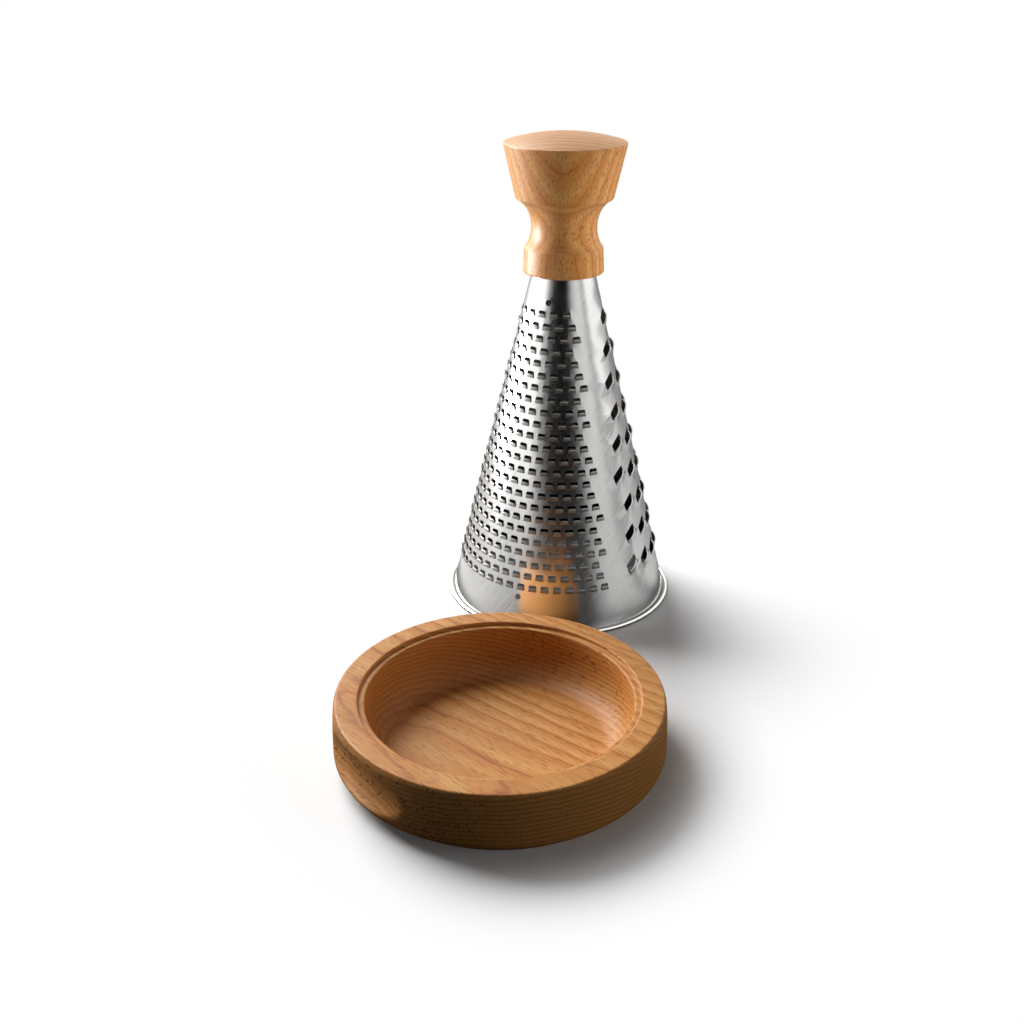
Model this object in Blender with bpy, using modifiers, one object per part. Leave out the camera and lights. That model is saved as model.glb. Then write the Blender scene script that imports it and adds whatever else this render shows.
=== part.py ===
"""Table grater: a punched steel cone under a turned beech handle, beside the beech bowl it seats on.

Metres, +Z up, table at Z = 0. The bowl stands in front (-Y) and the grater behind it (+Y), both on
X = 0. Angles round either piece are in degrees from the front (-Y) and grow towards +X.
"""

import math

import bmesh
import bpy
from mathutils import Matrix, Vector
from mathutils.geometry import delaunay_2d_cdt

# Shared by the whole set
STANDING_GAP = 0.0324  # bowl to grater, as they stand on the table
SEAT_GAP = 0.0003  # between pieces that touch
RIM_PLAY = 0.0005  # rolled rim to the wall of the bowl's rebate
CUT_OVERRUN = 0.004  # how far a cutter runs past what it cuts
WELD_DISTANCE = 0.000001

# Steel cone: its wall, measured on the outer face
SHEET = 0.0006
FOOT_RADIUS = 0.06097
FOOT_Z = 0.0020
CONE_TOP_RADIUS = 0.01361
CONE_HEIGHT = 0.19696
SOCKET_DEPTH = 0.0134  # how much of the cone stands in the handle
FOOT_SEGMENTS = 48
PLAIN_RINGS = 8  # rings of points that keep the unpunched sheet round
PLAIN_SPACING = 0.0105  # along such a ring
FINE_MARGIN = 0.0055  # from such a point to the middle of the nearest fine tooth
COARSE_MARGIN = 0.0105  # and of the nearest coarse tooth

# Rolled rim at the cone's foot
ROLL_RADIUS = 0.0013
ROLL_OFFSET = 0.00177  # roll's centre outside the foot of the wall
GROOVE_OFFSET = 0.00025
GROOVE_Z = 0.0009
ROLL_START = 170.0
ROLL_END = -90.0
ROLL_STEPS = 4

# Fine teeth: a square window whose tab is hinged at its lower edge and bent outwards
FINE_ROWS = 24
FINE_BELOW_HANDLE = 0.01844  # top row's middle
FINE_ABOVE_FOOT = 0.02172  # bottom row's middle
FINE_PITCH = 0.00675  # along a row
FINE_ROW_SHIFT = 0.00304  # each row is moved along by this against the row above
FINE_FIRST = 0.00529  # where the top row's lead tooth stands, along the row from the front
FINE_WIDTH = 0.0045
FINE_HEIGHT = 0.0036
FINE_TAB_WIDTH = 0.0030
FINE_TAB_HEIGHT = 0.0023
FINE_TAB_LIFT = 0.0009
FINE_LEFT_ANGLE = -84.0
FINE_RIGHT_ANGLE_LOW = 39.1  # the zone's right edge at its bottom row
FINE_RIGHT_ANGLE_HIGH = 30.1  # and at its top row

# Coarse teeth: a slanting slot whose lower lip bulges outwards over a rounded scoop
COARSE_ROWS = 9
COARSE_BELOW_HANDLE = 0.0217
COARSE_ABOVE_FOOT = 0.0296
COARSE_PITCH = 0.0131  # along a row
COARSE_FIRST = 0.0320  # where the top row's first tooth stands, along the row from the front
COARSE_ROW_SHIFT = 0.0013
COARSE_GROUP = 3  # rows in a group
COARSE_GROUP_SHIFTS = (0.0, 0.0035, 0.0111)  # what each group is moved along by besides
COARSE_RIGHT_ANGLE = 126.0
COARSE_WIDTH = 0.0077
COARSE_SLOT = 0.0038  # slot's height
COARSE_RISE = 0.0052  # how much higher the slot's right end is than its left end
COARSE_LEAN = 0.0010  # how far the slot's lower edge stands to the right of its upper edge
SCOOP_CLEARANCE = 0.0033  # from a scoop's bottom to the top of the slots in the row below
COARSE_LIFT = 0.0019
LIP_SHARES = ((0.30, 0.90), (0.70, 0.90))  # along the lip, and of the lift
SCOOP_SHARES = ((0.92, 0.45), (0.60, 0.93), (0.0, 0.97), (-0.70, 0.52))  # of half the width, of the reach

# Two small round holes that the blank is held by while it is punched
PILOT_RADIUS = 0.0016
PILOT_SIDES = 8
PILOT_ANGLE = -13.9
PILOT_BELOW_HANDLE = 0.0125
PILOT_ABOVE_FOOT = 0.0161

# Steel cap that closes the cone's top
CAP_PLATE = 0.0008
CAP_SKIRT = 0.0075
CAP_SEGMENTS = 20

# Screw and washer that hold the handle on, from inside
SCREW_RADIUS = 0.0020
SCREW_REACH = 0.0230  # above the cap
SCREW_POINT = 0.0030
HEAD_RADIUS = 0.0040
HEAD_HEIGHT = 0.0026
HEAD_EDGE = 0.0008
WASHER_RADIUS = 0.0065
WASHER_HEIGHT = 0.0010
SCREW_SEGMENTS = 16

# Turned handle
COLLAR_RADIUS = 0.0215
COLLAR_TOP_RADIUS = 0.0208
COLLAR_HEIGHT = 0.0131
COLLAR_EDGE = 0.0010
NECK_RADIUS = 0.0173
NECK_LOWER_HEIGHT = 0.0106  # from the collar to the narrowest place
NECK_UPPER_HEIGHT = 0.0144  # from there to the crease under the cup
CREASE_RADIUS = 0.0256
CREASE_LIP = 0.0006
CUP_RADIUS = 0.0319
CUP_HEIGHT = 0.0280
CUP_EDGE = 0.0007
DOME_RISE = 0.0048
DOME_STEPS = 3
HANDLE_SEGMENTS = 32
NECK_UPPER_STEPS = 5
NECK_LOWER_STEPS = 3
NECK_UPPER_SWEEP = 70.0
NECK_LOWER_SWEEP = 60.0

# Turned bowl
BOWL_HEIGHT = 0.0327
BOWL_LAND = 0.01046  # flat top, from the mouth to the outer edge
BOWL_SWELL = 0.0017  # how much wider the wall is at its fullest than at the top
BOWL_FULL_Z = 0.0091
BOWL_WALL_STEPS = 3
HEEL_WIDTH = 0.0077  # how much the foot stands in from the fullest place
HEEL_RADIUS = 0.0050  # round from the fullest place to the slope of the foot
HEEL_SWEEP = 48.4
HEEL_STEPS = 2
BOWL_EDGE = 0.0010
BOWL_FLOOR = 0.0070
REBATE_DEPTH = 0.0018
LEDGE_WIDTH = 0.0031
INNER_STRAIGHT = 0.0080  # straight part of the inner wall, below the ledge
INNER_ROUND = 0.0150  # radius of the round from wall to floor
BOWL_SEGMENTS = 56
BOWL_INNER_STEPS = 3

# Finger grip: one straight pass of a round-nosed cutter across the bowl's wall
GRIP_ANGLE = -44.5
GRIP_Z = 0.0183
GRIP_DEPTH = 0.0066
GRIP_CUTTER_RADIUS = 0.0114
GRIP_SEGMENTS = 24

# Colours, roughness and metallic values
BEECH = ("beech", (0.62, 0.37, 0.19, 1.0), 0.45, 0.0)
STEEL = ("stainless_steel", (0.62, 0.61, 0.60, 1.0), 0.28, 1.0)
ZINC = ("zinc_plated_steel", (0.50, 0.51, 0.53, 1.0), 0.40, 1.0)

# Worked out from the sizes above
FLARE = math.atan2(FOOT_RADIUS - CONE_TOP_RADIUS, CONE_HEIGHT)
CONE_TOP_Z = FOOT_Z + CONE_HEIGHT
HANDLE_BOTTOM_Z = CONE_TOP_Z - SOCKET_DEPTH
FINE_TOP_Z = HANDLE_BOTTOM_Z - FINE_BELOW_HANDLE
FINE_ROW_PITCH = (FINE_TOP_Z - FOOT_Z - FINE_ABOVE_FOOT) / (FINE_ROWS - 1)
COARSE_TOP_Z = HANDLE_BOTTOM_Z - COARSE_BELOW_HANDLE
COARSE_ROW_PITCH = (COARSE_TOP_Z - FOOT_Z - COARSE_ABOVE_FOOT) / (COARSE_ROWS - 1)
SCOOP_REACH = COARSE_ROW_PITCH - COARSE_SLOT - COARSE_RISE / 2 - SCOOP_CLEARANCE
COLLAR_TOP_Z = HANDLE_BOTTOM_Z + COLLAR_HEIGHT
NECK_Z = COLLAR_TOP_Z + NECK_LOWER_HEIGHT
CREASE_Z = NECK_Z + NECK_UPPER_HEIGHT
CUP_TOP_Z = CREASE_Z + CUP_HEIGHT
APEX_Z = FOOT_Z + FOOT_RADIUS / math.tan(FLARE)
RIM_RADIUS = FOOT_RADIUS + ROLL_OFFSET + ROLL_RADIUS
MOUTH_RADIUS = RIM_RADIUS + RIM_PLAY
LEDGE_RADIUS = MOUTH_RADIUS - LEDGE_WIDTH
BOWL_TOP_RADIUS = MOUTH_RADIUS + BOWL_LAND
BOWL_RADIUS = BOWL_TOP_RADIUS + BOWL_SWELL
BOWL_FOOT_RADIUS = BOWL_RADIUS - HEEL_WIDTH
SET_DEPTH = 2 * BOWL_RADIUS + STANDING_GAP + 2 * RIM_RADIUS
BOWL_Y = BOWL_RADIUS - SET_DEPTH / 2
GRATER_Y = SET_DEPTH / 2 - RIM_RADIUS
CAP_BOTTOM_Z = CONE_TOP_Z + SEAT_GAP
CAP_TOP_Z = CAP_BOTTOM_Z + CAP_PLATE
SOCKET_TOP_Z = CAP_TOP_Z + SEAT_GAP
WASHER_TOP_Z = CAP_BOTTOM_Z - SEAT_GAP
HEAD_TOP_Z = WASHER_TOP_Z - WASHER_HEIGHT - SEAT_GAP
SCREW_HOLE_RADIUS = SCREW_RADIUS + SEAT_GAP


def cone_radius(z):
    """Radius of the cone's outer face at height z."""
    return (APEX_Z - z) * math.tan(FLARE)


def bore_radius(z):
    """Radius of the cone's inner face at height z."""
    return cone_radius(z) - SHEET / math.cos(FLARE)


def arc(centre, reach, start, end, steps):
    """Points (r, z) of an elliptical arc, its angles in degrees from +r towards +z."""
    points = []
    for step in range(steps + 1):
        angle = math.radians(start + (end - start) * step / steps)
        points.append((centre[0] + reach[0] * math.cos(angle), centre[1] + reach[1] * math.sin(angle)))
    return points


class Blank:
    """The flat fan of sheet that is punched and then rolled into the cone.

    A point is given by its angle and height on the finished cone. It is kept where it lies on the
    fan, so the sheet between the holes is divided evenly, and with its lift off the rolled face.
    """

    def __init__(self):
        self.flat = []
        self.lifts = []
        self.edge = []
        self.holes = []
        self.folds = []

    def place(self, angle, z):
        """Where a place on the finished cone lies on the fan."""
        slant = (APEX_Z - z) / math.cos(FLARE)
        turn = math.radians(angle) * math.sin(FLARE)
        return Vector((slant * math.cos(turn), slant * math.sin(turn)))

    def add(self, angle, z, lift=0.0):
        """Adds one point and returns its number."""
        self.flat.append(self.place(angle, z))
        self.lifts.append(lift)
        return len(self.flat) - 1

    def rolled(self, point, lift):
        """Where a point of the fan is once the sheet is rolled, lifted off its outer face."""
        slant = point.length
        turn = math.atan2(point.y, point.x) / math.sin(FLARE)
        radius = slant * math.sin(FLARE) + lift * math.cos(FLARE)
        z = APEX_Z - slant * math.cos(FLARE) + lift * math.sin(FLARE)
        return Vector((radius * math.sin(turn), -radius * math.cos(turn), z))

    def sheet(self):
        """Divides the fan into triangles and rolls it. Returns the mesh and its point for each number."""
        edges = [(a, b) for fold in self.folds for a, b in zip(fold, fold[1:])]
        cut = delaunay_2d_cdt(self.flat, edges, [self.edge, *self.holes], 0, WELD_DISTANCE, True)
        _, _, faces, sources, _, owners = cut
        mesh = bmesh.new()
        made = [mesh.verts.new(self.rolled(self.flat[own[0]], self.lifts[own[0]])) for own in sources]
        for face, owner in zip(faces, owners):
            if list(owner) == [0]:
                mesh.faces.new([made[number] for number in face])
        return mesh, {number: vert for vert, own in zip(made, sources) for number in own}


def seam_angle():
    """Middle of the plain band at the back, where the sheet's two edges meet."""
    return (COARSE_RIGHT_ANGLE + FINE_LEFT_ANGLE + 360.0) / 2


def ring_heights():
    """Heights of the rings of points in the plain sheet, foot and top included."""
    rise = CONE_HEIGHT / PLAIN_RINGS
    return [FOOT_Z + rise * ring for ring in range(PLAIN_RINGS + 1)]


def fine_right_angle(z):
    """Right edge of the fine zone at height z."""
    share = (FINE_TOP_Z - z) / (FINE_ROW_PITCH * (FINE_ROWS - 1))
    return FINE_RIGHT_ANGLE_HIGH + (FINE_RIGHT_ANGLE_LOW - FINE_RIGHT_ANGLE_HIGH) * share


def fine_teeth():
    """Angle and height of every fine tooth, row by row."""
    teeth = []
    for row in range(FINE_ROWS):
        z = FINE_TOP_Z - FINE_ROW_PITCH * row
        radius = cone_radius(z)
        pitch_angle = math.degrees(FINE_PITCH / radius)
        lead = math.degrees((FINE_FIRST + FINE_ROW_SHIFT * row) / radius)
        back = math.ceil((lead - fine_right_angle(z)) / pitch_angle)
        angle = lead - back * pitch_angle
        while angle > FINE_LEFT_ANGLE:
            teeth.append((angle, z))
            angle -= pitch_angle
    return teeth


def coarse_first(row):
    """How far along its row the first coarse tooth stands."""
    return COARSE_FIRST + COARSE_ROW_SHIFT * row + COARSE_GROUP_SHIFTS[row // COARSE_GROUP]


def coarse_teeth():
    """Angle and height of every coarse tooth, row by row."""
    teeth = []
    for row in range(COARSE_ROWS):
        z = COARSE_TOP_Z - COARSE_ROW_PITCH * row
        radius = cone_radius(z)
        angle = math.degrees(coarse_first(row) / radius)
        while angle < COARSE_RIGHT_ANGLE:
            teeth.append((angle, z))
            angle += math.degrees(COARSE_PITCH / radius)
    return teeth


def beside(angle, z, across, up):
    """Angle and height of a place on the wall that lies across and up from another."""
    return angle + math.degrees(across / cone_radius(z)), z + up * math.cos(FLARE)


def outline(blank):
    """The fan's edge: the foot, one side of the seam, the top and the other side."""
    seam = seam_angle()
    heights = ring_heights()
    top_segments = FOOT_SEGMENTS // 2
    foot = [seam - 360.0 + 360.0 * i / FOOT_SEGMENTS for i in range(FOOT_SEGMENTS + 1)]
    top = [seam - 360.0 * i / top_segments for i in range(top_segments + 1)]
    loop = [blank.add(angle, FOOT_Z) for angle in foot]
    loop += [blank.add(seam, z) for z in heights[1:-1]]
    loop += [blank.add(angle, CONE_TOP_Z) for angle in top]
    loop += [blank.add(seam - 360.0, z) for z in reversed(heights[1:-1])]
    blank.edge = loop


def apart(angle, z, other_angle, other_z):
    """Distance over the wall between two places."""
    turn = (angle - other_angle + 180.0) % 360.0 - 180.0
    return math.hypot(math.radians(turn) * cone_radius(z), z - other_z)


def plain_points(blank):
    """Points that keep the unpunched sheet round, clear of every tooth."""
    seam = seam_angle()
    teeth = [(tooth, FINE_MARGIN) for tooth in fine_teeth()]
    teeth += [(tooth, COARSE_MARGIN) for tooth in coarse_teeth()]
    for z in ring_heights()[1:-1]:
        count = round(math.tau * cone_radius(z) / PLAIN_SPACING)
        for i in range(1, count):
            angle = seam - 360.0 * i / count
            if all(apart(angle, z, *tooth) > margin for tooth, margin in teeth):
                blank.add(angle, z)


def punch_pilots(blank):
    """The two round holes, one above the fine zone and one below it."""
    ring = arc((0.0, 0.0), (PILOT_RADIUS, PILOT_RADIUS), 0.0, 360.0, PILOT_SIDES)[:-1]
    for z in (HANDLE_BOTTOM_Z - PILOT_BELOW_HANDLE, FOOT_Z + PILOT_ABOVE_FOOT):
        blank.holes.append([blank.add(*beside(PILOT_ANGLE, z, x, y)) for x, y in ring])


def punch_fine(blank, angle, z):
    """One fine tooth's window. Returns the numbers of its hinge's two ends."""
    side = FINE_WIDTH / 2
    half = FINE_HEIGHT / 2
    corners = ((-side, -half), (side, -half), (side, half), (-side, half))
    hole = [blank.add(*beside(angle, z, x, y)) for x, y in corners]
    blank.holes.append(hole)
    return hole[:2]


def punch_coarse(blank, angle, z):
    """One coarse tooth: the slanting slot, its raised lower lip and the scoop below it."""
    side = COARSE_WIDTH / 2
    half = COARSE_SLOT / 2
    tip = COARSE_RISE / 2
    lean = COARSE_LEAN / 2
    left = blank.add(*beside(angle, z, lean - side, -tip - half))
    right = blank.add(*beside(angle, z, lean + side, tip - half))
    lip = []
    for along, lifted in LIP_SHARES:
        place = beside(angle, z, lean + side * (2 * along - 1), tip * (2 * along - 1) - half)
        lip.append(blank.add(*place, COARSE_LIFT * lifted))
    upper_right = blank.add(*beside(angle, z, side - lean, tip + half))
    upper_left = blank.add(*beside(angle, z, -side - lean, half - tip))
    blank.holes.append([left, *lip, right, upper_right, upper_left])
    scoop = []
    for across, down in SCOOP_SHARES:
        place = beside(angle, z, lean + side * across, tip * across - half - SCOOP_REACH * down)
        scoop.append(blank.add(*place))
    blank.folds.append([right, *scoop, left])


def bend_tab(mesh, blank, hinge, angle, z):
    """The fine tooth itself: a tab that stands off the wall at its upper, cutting edge."""
    side = FINE_TAB_WIDTH / 2
    up = FINE_TAB_HEIGHT - FINE_HEIGHT / 2
    free = []
    for across in (side, -side):
        flat = blank.place(*beside(angle, z, across, up))
        free.append(mesh.verts.new(blank.rolled(flat, FINE_TAB_LIFT)))
    mesh.faces.new(hinge + free)


def weld_seam(mesh):
    """Joins the sheet's two straight edges into one seam."""
    loose = [vert for vert in mesh.verts if vert.is_boundary]
    bmesh.ops.remove_doubles(mesh, verts=loose, dist=WELD_DISTANCE)


def roll_rim(mesh):
    """Carries the sheet on from the foot: down into a groove, then round into the rolled rim."""
    centre = (FOOT_RADIUS + ROLL_OFFSET, ROLL_RADIUS)
    roll = arc(centre, (ROLL_RADIUS, ROLL_RADIUS), ROLL_START, ROLL_END, ROLL_STEPS)
    profile = [(FOOT_RADIUS + GROOVE_OFFSET, GROOVE_Z), *roll]
    edges = [edge for edge in mesh.edges if at_foot(edge)]
    for radius, z in profile:
        grown = bmesh.ops.extrude_edge_only(mesh, edges=edges)["geom"]
        verts = [item for item in grown if isinstance(item, bmesh.types.BMVert)]
        edges = [item for item in grown if isinstance(item, bmesh.types.BMEdge)]
        for vert in verts:
            spread = radius / vert.co.xy.length
            vert.co = (vert.co.x * spread, vert.co.y * spread, z)


def at_foot(edge):
    """True for an edge of the wall's foot."""
    return edge.is_boundary and all(abs(vert.co.z - FOOT_Z) < WELD_DISTANCE for vert in edge.verts)


def cone_mesh():
    """The punched and rolled sheet, as the surface of its outer face."""
    blank = Blank()
    outline(blank)
    punch_pilots(blank)
    hinges = [(punch_fine(blank, *tooth), tooth) for tooth in fine_teeth()]
    for tooth in coarse_teeth():
        punch_coarse(blank, *tooth)
    plain_points(blank)
    mesh, verts = blank.sheet()
    for hinge, tooth in hinges:
        bend_tab(mesh, blank, [verts[number] for number in hinge], *tooth)
    weld_seam(mesh)
    roll_rim(mesh)
    return mesh


def finish(name, look):
    """A material of the piece's own."""
    label, colour, roughness, metallic = look
    material = bpy.data.materials.new(f"{name}_{label}")
    material.use_nodes = True
    shader = material.node_tree.nodes["Principled BSDF"]
    shader.inputs["Base Color"].default_value = colour
    shader.inputs["Roughness"].default_value = roughness
    shader.inputs["Metallic"].default_value = metallic
    return material


def placed(name, mesh, look, place, parent=None):
    """Turns a mesh into a named object at a place."""
    obj = bpy.data.objects.new(name, mesh)
    mesh.materials.append(finish(name, look))
    obj.location = place
    obj.parent = parent
    bpy.data.collections["table_grater"].objects.link(obj)
    return obj


def turned(name, profile, segments, look, place, parent=None, ring=False):
    """A turned piece. Its profile (r, z) runs down the outer side; a ring's profile closes on itself."""
    edges = [(i, i + 1) for i in range(len(profile) - 1)]
    if ring:
        edges.append((len(profile) - 1, 0))
    mesh = bpy.data.meshes.new(name)
    mesh.from_pydata([(r, 0.0, z) for r, z in profile], edges, [])
    obj = placed(name, mesh, look, place, parent)
    screw = obj.modifiers.new("Turn", "SCREW")
    screw.steps = segments
    screw.render_steps = segments
    screw.use_merge_vertices = True
    screw.merge_threshold = WELD_DISTANCE
    screw.use_smooth_shade = True
    return obj


def grater_cone(parent):
    """The cone: the sheet's outer face, thickened inwards."""
    shape = cone_mesh()
    for face in shape.faces:
        face.smooth = True
    mesh = bpy.data.meshes.new("grater_cone")
    shape.to_mesh(mesh)
    shape.free()
    obj = placed("grater_cone", mesh, STEEL, (0.0, 0.0, 0.0), parent)
    shell = obj.modifiers.new("Sheet", "SOLIDIFY")
    shell.thickness = SHEET
    shell.offset = -1.0
    return obj


def top_cap(parent):
    """A pressed cap: a plate over the cone's top edge and a skirt that fits inside it."""
    skirt_z = CAP_BOTTOM_Z - CAP_SKIRT
    skirt_top = bore_radius(CAP_BOTTOM_Z) - SEAT_GAP
    skirt_bottom = bore_radius(skirt_z) - SEAT_GAP
    profile = [
        (SCREW_HOLE_RADIUS, CAP_TOP_Z),
        (cone_radius(CAP_TOP_Z), CAP_TOP_Z),
        (cone_radius(CAP_BOTTOM_Z), CAP_BOTTOM_Z),
        (skirt_top, CAP_BOTTOM_Z),
        (skirt_bottom, skirt_z),
        (skirt_bottom - CAP_PLATE, skirt_z),
        (skirt_top - CAP_PLATE, CAP_BOTTOM_Z),
        (SCREW_HOLE_RADIUS, CAP_BOTTOM_Z),
    ]
    return turned("top_cap", profile, CAP_SEGMENTS, STEEL, (0.0, 0.0, 0.0), parent, ring=True)


def cap_washer(parent):
    """The washer between the screw's head and the cap."""
    low = WASHER_TOP_Z - WASHER_HEIGHT
    profile = [
        (SCREW_HOLE_RADIUS, WASHER_TOP_Z),
        (WASHER_RADIUS, WASHER_TOP_Z),
        (WASHER_RADIUS, low),
        (SCREW_HOLE_RADIUS, low),
    ]
    return turned("cap_washer", profile, SCREW_SEGMENTS, ZINC, (0.0, 0.0, 0.0), parent, ring=True)


def handle_screw(parent):
    """The screw, its head down inside the cone and its point up in the handle."""
    tip = CAP_TOP_Z + SCREW_REACH
    low = HEAD_TOP_Z - HEAD_HEIGHT
    profile = [
        (0.0, tip),
        (SCREW_RADIUS, tip - SCREW_POINT),
        (SCREW_RADIUS, HEAD_TOP_Z),
        (HEAD_RADIUS, HEAD_TOP_Z),
        (HEAD_RADIUS, low + HEAD_EDGE),
        (HEAD_RADIUS - HEAD_EDGE, low),
        (0.0, low),
    ]
    return turned("handle_screw", profile, SCREW_SEGMENTS, ZINC, (0.0, 0.0, 0.0), parent)


def hollow_reach(outwards, height, sweep):
    """Half sizes of the arc that goes outwards over a height while it turns by a sweep in degrees."""
    turn = math.radians(sweep)
    return outwards / (1 - math.cos(turn)), height / math.sin(turn)


def handle_neck():
    """The hollow of the neck, from the crease under the cup down to the collar's top edge."""
    flare = CREASE_RADIUS - CREASE_LIP - NECK_RADIUS
    reach = hollow_reach(flare, NECK_UPPER_HEIGHT, NECK_UPPER_SWEEP)
    centre = (NECK_RADIUS + reach[0], NECK_Z)
    upper = arc(centre, reach, 180.0 - NECK_UPPER_SWEEP, 180.0, NECK_UPPER_STEPS)
    reach = hollow_reach(COLLAR_TOP_RADIUS - NECK_RADIUS, NECK_LOWER_HEIGHT, NECK_LOWER_SWEEP)
    centre = (NECK_RADIUS + reach[0], NECK_Z)
    lower = arc(centre, reach, 180.0, 180.0 + NECK_LOWER_SWEEP, NECK_LOWER_STEPS)
    return upper + lower[1:]


def handle_outside():
    """The handle's outer profile from the top of its dome to its bottom edge."""
    dome_radius = (CUP_RADIUS**2 + DOME_RISE**2) / (2 * DOME_RISE)
    half = math.degrees(math.asin((CUP_RADIUS - CUP_EDGE) / dome_radius))
    middle = CUP_TOP_Z + DOME_RISE - dome_radius
    dome = arc((0.0, middle), (dome_radius, dome_radius), 90.0, 90.0 - half, DOME_STEPS)
    return [
        *dome,
        (CUP_RADIUS, CUP_TOP_Z - CUP_EDGE),
        (CREASE_RADIUS, CREASE_Z + CREASE_LIP),
        *handle_neck(),
        (COLLAR_RADIUS, HANDLE_BOTTOM_Z + COLLAR_EDGE),
        (COLLAR_RADIUS - COLLAR_EDGE, HANDLE_BOTTOM_Z),
    ]


def handle(parent):
    """The turned handle, with the tapered socket that seats on the cone and the screw's hole."""
    socket_low = cone_radius(HANDLE_BOTTOM_Z) + SEAT_GAP
    socket_high = cone_radius(SOCKET_TOP_Z) + SEAT_GAP
    screw_top = CAP_TOP_Z + SCREW_REACH + SEAT_GAP
    profile = [
        *handle_outside(),
        (socket_low, HANDLE_BOTTOM_Z),
        (socket_high, SOCKET_TOP_Z),
        (SCREW_HOLE_RADIUS, SOCKET_TOP_Z),
        (SCREW_HOLE_RADIUS, screw_top),
        (0.0, screw_top),
    ]
    return turned("handle", profile, HANDLE_SEGMENTS, BEECH, (0.0, 0.0, 0.0), parent)


def bowl_profile():
    """The bowl's profile from the middle of its floor, over the rim and down to its underside."""
    ledge_z = BOWL_HEIGHT - REBATE_DEPTH
    round_z = ledge_z - INNER_STRAIGHT
    round_reach = (INNER_ROUND, round_z - BOWL_FLOOR)
    inner = arc((LEDGE_RADIUS - INNER_ROUND, round_z), round_reach, -90.0, 0.0, BOWL_INNER_STEPS)
    wall_reach = (BOWL_RADIUS - BOWL_TOP_RADIUS, BOWL_HEIGHT - BOWL_EDGE - BOWL_FULL_Z)
    wall = arc((BOWL_TOP_RADIUS, BOWL_FULL_Z), wall_reach, 90.0, 0.0, BOWL_WALL_STEPS)
    heel_centre = (BOWL_RADIUS - HEEL_RADIUS, BOWL_FULL_Z)
    heel = arc(heel_centre, (HEEL_RADIUS, HEEL_RADIUS), 0.0, -HEEL_SWEEP, HEEL_STEPS)
    return [
        (0.0, BOWL_FLOOR),
        *inner,
        (LEDGE_RADIUS, ledge_z),
        (MOUTH_RADIUS, ledge_z),
        (MOUTH_RADIUS, BOWL_HEIGHT),
        (BOWL_TOP_RADIUS - BOWL_EDGE, BOWL_HEIGHT),
        *wall,
        *heel[1:],
        (BOWL_FOOT_RADIUS, 0.0),
        (0.0, 0.0),
    ]


def grip_cutter():
    """The path of the round-nosed cutter that makes the finger grip."""
    turn = math.radians(GRIP_ANGLE)
    reach = BOWL_RADIUS - GRIP_DEPTH + GRIP_CUTTER_RADIUS
    mesh = bmesh.new()
    bmesh.ops.create_cone(
        mesh,
        cap_ends=True,
        segments=GRIP_SEGMENTS,
        radius1=GRIP_CUTTER_RADIUS,
        radius2=GRIP_CUTTER_RADIUS,
        depth=2 * (BOWL_RADIUS + CUT_OVERRUN),
        matrix=Matrix.Rotation(turn, 4, "Z") @ Matrix.Rotation(math.pi / 2, 4, "Y"),
    )
    data = bpy.data.meshes.new("grip_cutter")
    mesh.to_mesh(data)
    mesh.free()
    cutter = bpy.data.objects.new("grip_cutter", data)
    cutter.location = (reach * math.sin(turn), BOWL_Y - reach * math.cos(turn), GRIP_Z)
    cutter.hide_render = True
    cutter.display_type = "WIRE"
    bpy.data.collections["cutters"].objects.link(cutter)
    return cutter


def bowl():
    """The turned bowl, with its rebate for the rolled rim and its finger grip."""
    obj = turned("bowl", bowl_profile(), BOWL_SEGMENTS, BEECH, (0.0, BOWL_Y, 0.0))
    cut = obj.modifiers.new("Finger grip", "BOOLEAN")
    cut.operation = "DIFFERENCE"
    cut.solver = "EXACT"
    cut.object = grip_cutter()
    return obj


def clear_scene():
    """Removes what the file held before."""
    for obj in list(bpy.data.objects):
        bpy.data.objects.remove(obj, do_unlink=True)


def main():
    """Builds the whole set."""
    clear_scene()
    for name in ("table_grater", "cutters"):
        bpy.context.scene.collection.children.link(bpy.data.collections.new(name))
    axis = bpy.data.objects.new("grater_axis", None)
    axis.location = (0.0, GRATER_Y, 0.0)
    bpy.data.collections["table_grater"].objects.link(axis)
    bpy.context.view_layer.update()
    grater_cone(axis)
    top_cap(axis)
    cap_washer(axis)
    handle_screw(axis)
    handle(axis)
    bowl()


main()
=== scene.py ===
"""Looks of the table grater: a punched steel cone with a turned beech handle, and its beech bowl.

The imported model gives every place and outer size. Each sub-assembly here is a class that makes the
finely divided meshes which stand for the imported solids, and dresses them. Lengths are in metres,
pattern scales in the finishes are in millimetres, and angles round a piece are in degrees from the
front (-Y), growing towards +X.
"""

import logging
import math
from dataclasses import dataclass
from enum import Enum
from typing import Callable, Sequence

import bmesh
import bpy
from mathutils import Matrix, Vector
from mathutils.geometry import delaunay_2d_cdt

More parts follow.
